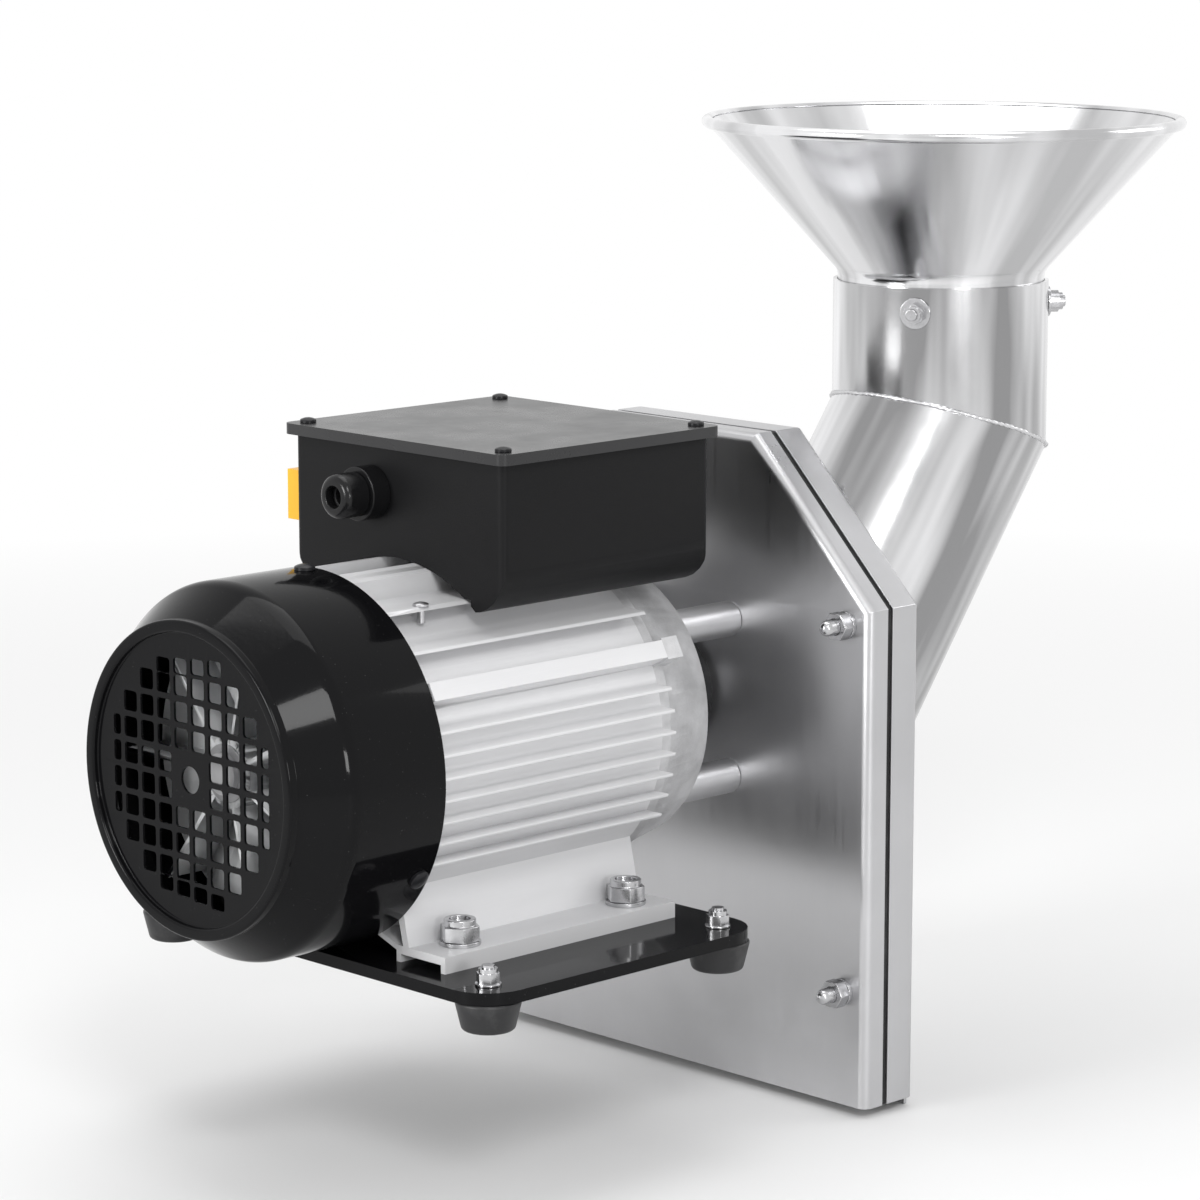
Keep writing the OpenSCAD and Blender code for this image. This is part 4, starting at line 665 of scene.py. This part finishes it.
class CRUSHER_OT_fan_cowl(bpy.types.Operator):
    """Spins the cowl's enamelled sheet, cuts its grille and fits its screws"""

    bl_idname = "crusher.fan_cowl"
    bl_label = "Fan Cowl"

    def execute(self, context):
        bm = bmesh.new()
        outline = cowl_profile(0) + cowl_profile(sizes().cowl_wall)[::-1]
        turned(bm, outline, SHAFT, ALONG_SHAFT, steps=144)
        bmesh.ops.recalc_face_normals(bm, faces=bm.faces)
        cowl = new_piece(bm, "fan_cowl_sheet", "fan_cowl")
        cut(cowl, grille_cutters())
        cowl.data.set_sharp_from_angle(angle=SHARP_ANGLE)
        soften(cowl, 0.25 * MM, 2)
        dress("cowl_screws", edge=0.2 * MM)
        return {"FINISHED"}


class CRUSHER_OT_fan(bpy.types.Operator):
    """Dresses the cooling fan and its ring"""

    bl_idname = "crusher.fan"
    bl_label = "Cooling Fan"

    def execute(self, context):
        dress("cooling_fan", edge=0.5 * MM, whole_ends=False)
        dress("fan_circlip", edge=0.15 * MM)
        return {"FINISHED"}


class CRUSHER_OT_motor_frame(bpy.types.Operator):
    """Dresses the finned frame, its end shields and the screws that hold them"""

    bl_idname = "crusher.motor_frame"
    bl_label = "Motor Frame"

    def execute(self, context):
        dress("motor_frame", edge=0, whole_ends=False)
        dress("front_end_shield", edge=0.6 * MM)
        dress("rear_end_shield", edge=0.6 * MM, whole_ends=False)
        dress("shield_screws", "earth_screw", edge=0.2 * MM)
        return {"FINISHED"}


class CRUSHER_OT_motor_inside(bpy.types.Operator):
    """Gives the stator, the rotor, the shaft and the bearings their finishes"""

    bl_idname = "crusher.motor_inside"
    bl_label = "Motor Inside"

    def execute(self, context):
        recolor("stator_core", "stator_windings", "rotor_core", "motor_shaft", "shaft_key",
                "bearing_outer_races", "bearing_inner_races", "bearing_balls", "wave_washer", "shaft_seal")
        return {"FINISHED"}


class CRUSHER_OT_terminal_box(bpy.types.Operator):
    """Dresses the terminal box, its lid, and what sits in the box"""

    bl_idname = "crusher.terminal_box"
    bl_label = "Terminal Box"

    def execute(self, context):
        dress("terminal_box", edge=0.7 * MM, segments=3)
        dress("box_lid", edge=2.2 * MM, segments=4)
        dress("lid_screws", edge=0.3 * MM)
        recolor("lid_gasket", "box_screws", "capacitors", "capacitor_clips", "terminal_board")
        return {"FINISHED"}


class CRUSHER_OT_cable_gland(bpy.types.Operator):
    """Dresses the cable gland, its nut and its seal"""

    bl_idname = "crusher.cable_gland"
    bl_label = "Cable Gland"

    def execute(self, context):
        dress("cable_gland", "gland_nut", edge=0.6 * MM, segments=3)
        dress("gland_seal", edge=0.3 * MM)
        return {"FINISHED"}


class CRUSHER_OT_switch(bpy.types.Operator):
    """Dresses the switch with its two buttons and the cover that flips up over them"""

    bl_idname = "crusher.switch"
    bl_label = "Switch"

    def execute(self, context):
        dress("switch_body", "switch_cover", edge=0.8 * MM, segments=3)
        dress("cover_hinge", "start_button", "stop_button", edge=0.5 * MM)
        recolor("cover_pin", "button_springs")
        return {"FINISHED"}


# Base plate and feet

FOOT_RADIUS = 16 * MM
FOOT_GAP = 0.3 * MM
TREAD_SHARE = 0.78
NECK_SHARE = 0.72


def rubber_foot(bm, x, y):
    """One moulded foot: a rounded tread, tapered sides and a neck up to the plate."""
    bottom = low("rubber_feet").z
    top = high("rubber_feet").z - bottom
    rim = low("base_plate").z - bottom - FOOT_GAP
    profile = fillet([
        (0, 0, 0),
        (0, FOOT_RADIUS * TREAD_SHARE, sizes().foot_edge),
        (rim, FOOT_RADIUS, sizes().foot_edge / 2),
        (rim, FOOT_RADIUS * NECK_SHARE, 0),
        (top, FOOT_RADIUS * NECK_SHARE, 0),
        (top, 0, 0),
    ])
    turned(bm, profile, (x, y, bottom), UP, steps=64, closed=False)


def foot_places():
    """Centres of the four rubber feet."""
    near, far = low("rubber_feet"), high("rubber_feet")
    return [(x, y) for x in (near.x + FOOT_RADIUS, far.x - FOOT_RADIUS)
            for y in (near.y + FOOT_RADIUS, far.y - FOOT_RADIUS)]


class CRUSHER_OT_base(bpy.types.Operator):
    """Dresses the base plate and spins its rubber feet"""

    bl_idname = "crusher.base"
    bl_label = "Base Plate"

    def execute(self, context):
        dress("base_plate", edge=1.0 * MM, segments=3)
        bm = bmesh.new()
        for x, y in foot_places():
            rubber_foot(bm, x, y)
        new_piece(bm, "rubber_feet_moulded", "rubber_feet")
        return {"FINISHED"}


class CRUSHER_OT_fasteners(bpy.types.Operator):
    """Dresses the bolts, nuts and washers of the base, the motor's feet and the housing"""

    bl_idname = "crusher.fasteners"
    bl_label = "Fasteners"

    def execute(self, context):
        dress("motor_foot_nuts", "m6_nuts", edge=0.5 * MM, segments=3)
        dress("motor_foot_bolts", "housing_bolts", "housing_nuts", edge=0.4 * MM)
        dress("flat_washers", "spring_washers", edge=0.3 * MM)
        recolor("foot_studs")
        return {"FINISHED"}


class CRUSHER_OT_housing(bpy.types.Operator):
    """Dresses the two trays of the housing, their gasket, the seal and the pillars"""

    bl_idname = "crusher.housing"
    bl_label = "Housing"

    def execute(self, context):
        dress("housing_back", "housing_cover", edge=0.4 * MM)
        dress("housing_gasket", edge=0.5 * MM)
        dress("spacer_pillars", edge=0.8 * MM)
        recolor("pillar_bolts", "housing_seal")
        return {"FINISHED"}


class CRUSHER_OT_cutter(bpy.types.Operator):
    """Dresses the hub, the disc and the knives"""

    bl_idname = "crusher.cutter"
    bl_label = "Cutter"

    def execute(self, context):
        dress("cutter_hub", "cutter_disc", edge=0.5 * MM)
        dress("cutter_knives", "cutter_fasteners", edge=0.3 * MM)
        return {"FINISHED"}


# Feed pipe and funnel

PIPE_WELD = 1.1 * MM
INLET_DROP = 11 * MM
MITRE_WELD_SHARE = 0.62
RIPPLES = 95
RIPPLE_SHARE = 0.22
WOBBLE_SHARE = 0.35
WOBBLES = 9
DRIFT_SHARE = 0.6
DRIFTS = 4
NECK_BEND_INSIDE = 9 * MM
NECK_BEND_OUTSIDE = 8 * MM
FUNNEL_FIT = 0.3 * MM
RIM_INSIDE_SHARES = (0.3, 0.95)
RIM_OUTSIDE_SHARES = (0.9, 0.45)
RIM_SWEEP = (math.radians(-75), math.radians(150))


def pipe_axis():
    """Middle of the feed pipe's top, and its radius."""
    top = high("feed_pipe")
    radius = (top.y - low("feed_pipe").y) / 2 - PIPE_WELD
    return Vector((top.x - PIPE_WELD - radius, top.y - PIPE_WELD - radius, top.z)), radius


def mitre_point():
    """Where the axes of the upright and the slanted pipe cross."""
    top = pipe_axis()[0]
    reach = top.x - high("housing_cover").x
    return Vector((top.x, top.y, SHAFT.z - INLET_DROP + reach / math.tan(sizes().pipe_bend)))


def tilted(angle):
    """The upward direction, tipped along the shaft by an angle."""
    return Vector((math.sin(angle), 0, math.cos(angle)))


def cover_face():
    """A point on the housing cover's face."""
    return Vector((high("housing_cover").x, 0, 0))


def pipe_tube(bm):
    """The bent pipe: an upright tube to the mitre, and a slanted one from there to the cover."""
    top, radius = pipe_axis()
    bend = sizes().pipe_bend
    ends = [bm.verts.new(top + ALONG_SHAFT * reach) for reach in (radius, radius - sizes().pipe_wall)]
    spun(bm, [*ends, bm.edges.new(ends)], top, UP, steps=144)
    ring = list(bm.faces)
    keep = True
    for direction, point, normal in (
        (-UP, mitre_point(), tilted(bend / 2)),
        (-tilted(bend), cover_face(), ALONG_SHAFT),
    ):
        made = bmesh.ops.extrude_face_region(bm, geom=ring, use_keep_orig=keep)["geom"]
        keep = False
        ring = [item for item in made if isinstance(item, bmesh.types.BMFace)]
        projected({vert for face in ring for vert in face.verts}, direction, point, normal)


def ripple_bead(bm, centre, axis, radius, width, point, normal):
    """A weld bead round a tube, on the plane where it was welded, with the ripples of each pass."""
    side = axis.orthogonal().normalized()
    facing = side.cross(axis).to_track_quat("Z", "Y").to_matrix().to_4x4()
    start = bmesh.ops.create_circle(bm, cap_ends=False, segments=10, radius=width,
                                    matrix=Matrix.Translation(centre + side * radius) @ facing)["verts"]
    others = set(bm.verts) - set(start)
    spun(bm, start + list({edge for vert in start for edge in vert.link_edges}), centre, axis, steps=300)
    for vert in set(bm.verts) - others:
        offset = vert.co - centre
        out = (offset - axis * offset.dot(axis)).normalized()
        turn = math.atan2(out.dot(side), out.dot(side.cross(axis)))
        wobble = noise.noise(out * WOBBLES) * WOBBLE_SHARE
        ripple = 1 + RIPPLE_SHARE * math.sin(turn * RIPPLES + 3 * wobble) + wobble
        spine = centre + out * radius
        foot = spine + axis * ((point - spine).dot(normal) / axis.dot(normal))
        drift = width * DRIFT_SHARE * noise.noise(out * DRIFTS)
        vert.co = foot + (vert.co - spine) * ripple + axis * drift


class CRUSHER_OT_feed_pipe(bpy.types.Operator):
    """Builds the mitred feed pipe with its weld beads"""

    bl_idname = "crusher.feed_pipe"
    bl_label = "Feed Pipe"

    def execute(self, context):
        bm = bmesh.new()
        pipe_tube(bm)
        new_piece(bm, "feed_pipe_tube", "feed_pipe")
        bend = sizes().pipe_bend
        weld = sizes().weld
        mitre, radius = mitre_point(), pipe_axis()[1]
        welds = bmesh.new()
        ripple_bead(welds, mitre, UP, radius, weld * MITRE_WELD_SHARE, mitre, tilted(bend / 2))
        ripple_bead(welds, mitre, tilted(bend), radius, weld, cover_face(), ALONG_SHAFT)
        piece_from(welds, "pipe_weld_beads", surface("turned_steel"), "root")
        return {"FINISHED"}


class CRUSHER_OT_funnel(bpy.types.Operator):
    """Spins the funnel with its rolled rim and fits its screws"""

    bl_idname = "crusher.funnel"
    bl_label = "Funnel"

    def execute(self, context):
        size = sizes()
        centre = middle("funnel")
        base = low("funnel").z
        top = high("funnel").z - base
        radius = (high("funnel").x - low("funnel").x) / 2
        pipe_top = high("feed_pipe").z - base
        throat = pipe_axis()[1] - size.pipe_wall - FUNNEL_FIT
        neck = pipe_top + size.funnel_neck
        rim = (top - size.rim, radius - size.rim)
        wall = size.funnel_wall
        inner = fillet([
            (0, throat - wall, 0),
            (neck, throat - wall, NECK_BEND_INSIDE),
            (rim[0] + size.rim * RIM_INSIDE_SHARES[0], rim[1] - size.rim * RIM_INSIDE_SHARES[1], 0),
        ])
        outer = fillet([
            (rim[0] - size.rim * RIM_OUTSIDE_SHARES[0], rim[1] - size.rim * RIM_OUTSIDE_SHARES[1], 0),
            (neck, throat, NECK_BEND_OUTSIDE),
            (0, throat, 0),
        ])
        bm = bmesh.new()
        outline = inner + arc(rim, size.rim, *RIM_SWEEP, steps=16) + outer
        turned(bm, outline, (centre.x, centre.y, base), UP, steps=160)
        new_piece(bm, "funnel_spun", "funnel")
        dress("funnel_screws", edge=0.4 * MM, segments=3)
        return {"FINISHED"}


# Stage

CAMERA_PLACE = (-1.4858, -1.4751, 0.6325)
CAMERA_AZIMUTH = math.radians(-44.295)
CAMERA_ELEVATION = math.radians(10.262)
CAMERA_LENS = 126.24
CAMERA_SENSOR = 36
LAMP_AIM = Vector((0, 0, 0.25))
AMBIENT = 0.5
FLOOR_PAINT = (0.86, 0.86, 0.86)
FLOOR_RADIUS = 8
FLOOR_FADE = (0.6, 1.8)
# Place, side and power of each square lamp
LAMPS = {
    "key": ((-1.5, -2.0, 2.1), 0.8, 28),
    "front": ((-0.9, -2.3, 0.6), 0.45, 12),
    "side": ((2.4, -1.4, 1.4), 1.4, 14),
    "top": ((0.1, 0.3, 2.6), 1.8, 24),
    "fan": ((-2.6, 0.4, 0.8), 0.8, 36),
}


def backdrop_share(made):
    """One for rays from the camera, from gloss and through glass."""
    rays = [made.add("LightPath", kind) for kind in ("Is Camera Ray", "Is Glossy Ray", "Is Transmission Ray")]
    return made.math("MINIMUM", rays[0] + rays[1] + rays[2], 1)


class CRUSHER_OT_stage(bpy.types.Operator):
    """Sets the floor, the soft lights, the background and the camera"""

    bl_idname = "crusher.stage"
    bl_label = "Stage"

    def execute(self, context):
        scene = context.scene
        camera = bpy.data.cameras.new("camera")
        camera.lens = CAMERA_LENS
        camera.sensor_width = CAMERA_SENSOR
        view = bpy.data.objects.new("camera", camera)
        view.location = CAMERA_PLACE
        flat = math.cos(CAMERA_ELEVATION)
        aim = Vector((-math.sin(CAMERA_AZIMUTH) * flat, math.cos(CAMERA_AZIMUTH) * flat,
                      -math.sin(CAMERA_ELEVATION)))
        view.rotation_euler = aim.to_track_quat("-Z", "Y").to_euler()
        scene.collection.objects.link(view)
        scene.camera = view
        for name, (place, size, power) in LAMPS.items():
            lamp = bpy.data.lights.new(name, "AREA")
            lamp.shape = "SQUARE"
            lamp.size = size
            lamp.energy = power
            stand = bpy.data.objects.new(name, lamp)
            stand.location = place
            stand.rotation_euler = (LAMP_AIM - Vector(place)).to_track_quat("-Z", "Y").to_euler()
            scene.collection.objects.link(stand)
        self.background(scene)
        self.floor(scene)
        scene.view_settings.view_transform = "Standard"
        return {"FINISHED"}

    def background(self, scene):
        """White behind the object and in its gloss, grey as light."""
        world = bpy.data.worlds.new("studio")
        world.use_nodes = True
        scene.world = world
        made = Nodes(world.node_tree)
        sky = world.node_tree.nodes["Background"]
        sky.inputs["Color"].default_value = (1, 1, 1, 1)
        made.feed(sky.inputs["Strength"], backdrop_share(made) * (1 - AMBIENT) + AMBIENT)

    def floor(self, scene):
        """A pale floor under the object's lowest edge that fades into the background."""
        bm = bmesh.new()
        bmesh.ops.create_circle(bm, cap_ends=True, segments=64, radius=FLOOR_RADIUS,
                                matrix=Matrix.Translation((0, 0, CAD_BOUNDS[0][2])))
        mesh = bpy.data.meshes.new("floor")
        bm.to_mesh(mesh)
        bm.free()
        floor = bpy.data.objects.new("floor", mesh)
        scene.collection.objects.link(floor)
        made = Finish("floor_paint", FLOOR_PAINT, 0.6)
        away = made.vector_math("LENGTH", made.place(), output=1)
        glow = made.add("Emission", 0, Color=(1, 1, 1, 1), Strength=1.0)
        paint = Signal(made, made.shader.outputs[0])
        mixed = made.add("MixShader", 0, i0=made.ramp(away, *FLOOR_FADE), i1=paint, i2=glow)
        made.feed(made.tree.nodes["Material Output"].inputs["Surface"], mixed)
        mesh.materials.append(made.material)


OPERATORS = (
    CRUSHER_OT_fan_cowl, CRUSHER_OT_fan, CRUSHER_OT_motor_frame, CRUSHER_OT_motor_inside,
    CRUSHER_OT_terminal_box, CRUSHER_OT_cable_gland, CRUSHER_OT_switch, CRUSHER_OT_base,
    CRUSHER_OT_fasteners, CRUSHER_OT_housing, CRUSHER_OT_cutter, CRUSHER_OT_feed_pipe, CRUSHER_OT_funnel,
    CRUSHER_OT_stage,
)


class CRUSHER_PT_panel(bpy.types.Panel):
    """Lists the pieces of the fruit crusher"""

    bl_label = "Fruit Crusher"
    bl_space_type = "VIEW_3D"
    bl_region_type = "UI"
    bl_category = "Fruit Crusher"

    def draw(self, context):
        layout = self.layout
        for kind in OPERATORS:
            layout.operator(kind.bl_idname)
        for group in (context.scene.crusher_sizes, context.scene.crusher_colors):
            for name in group.__annotations__:
                layout.prop(group, name)


CLASSES = (CrusherColors, CrusherSizes, *OPERATORS, CRUSHER_PT_panel)


def register():
    for kind in CLASSES:
        bpy.utils.register_class(kind)
    bpy.types.Scene.crusher_colors = PointerProperty(type=CrusherColors)
    bpy.types.Scene.crusher_sizes = PointerProperty(type=CrusherSizes)


def unregister():
    del bpy.types.Scene.crusher_sizes
    del bpy.types.Scene.crusher_colors
    for kind in reversed(CLASSES):
        bpy.utils.unregister_class(kind)


def main():
    """Builds every piece in order."""
    register()
    for kind in OPERATORS:
        group, name = kind.bl_idname.split(".")
        getattr(getattr(bpy.ops, group), name)()


if __name__ == "__main__":
    main()
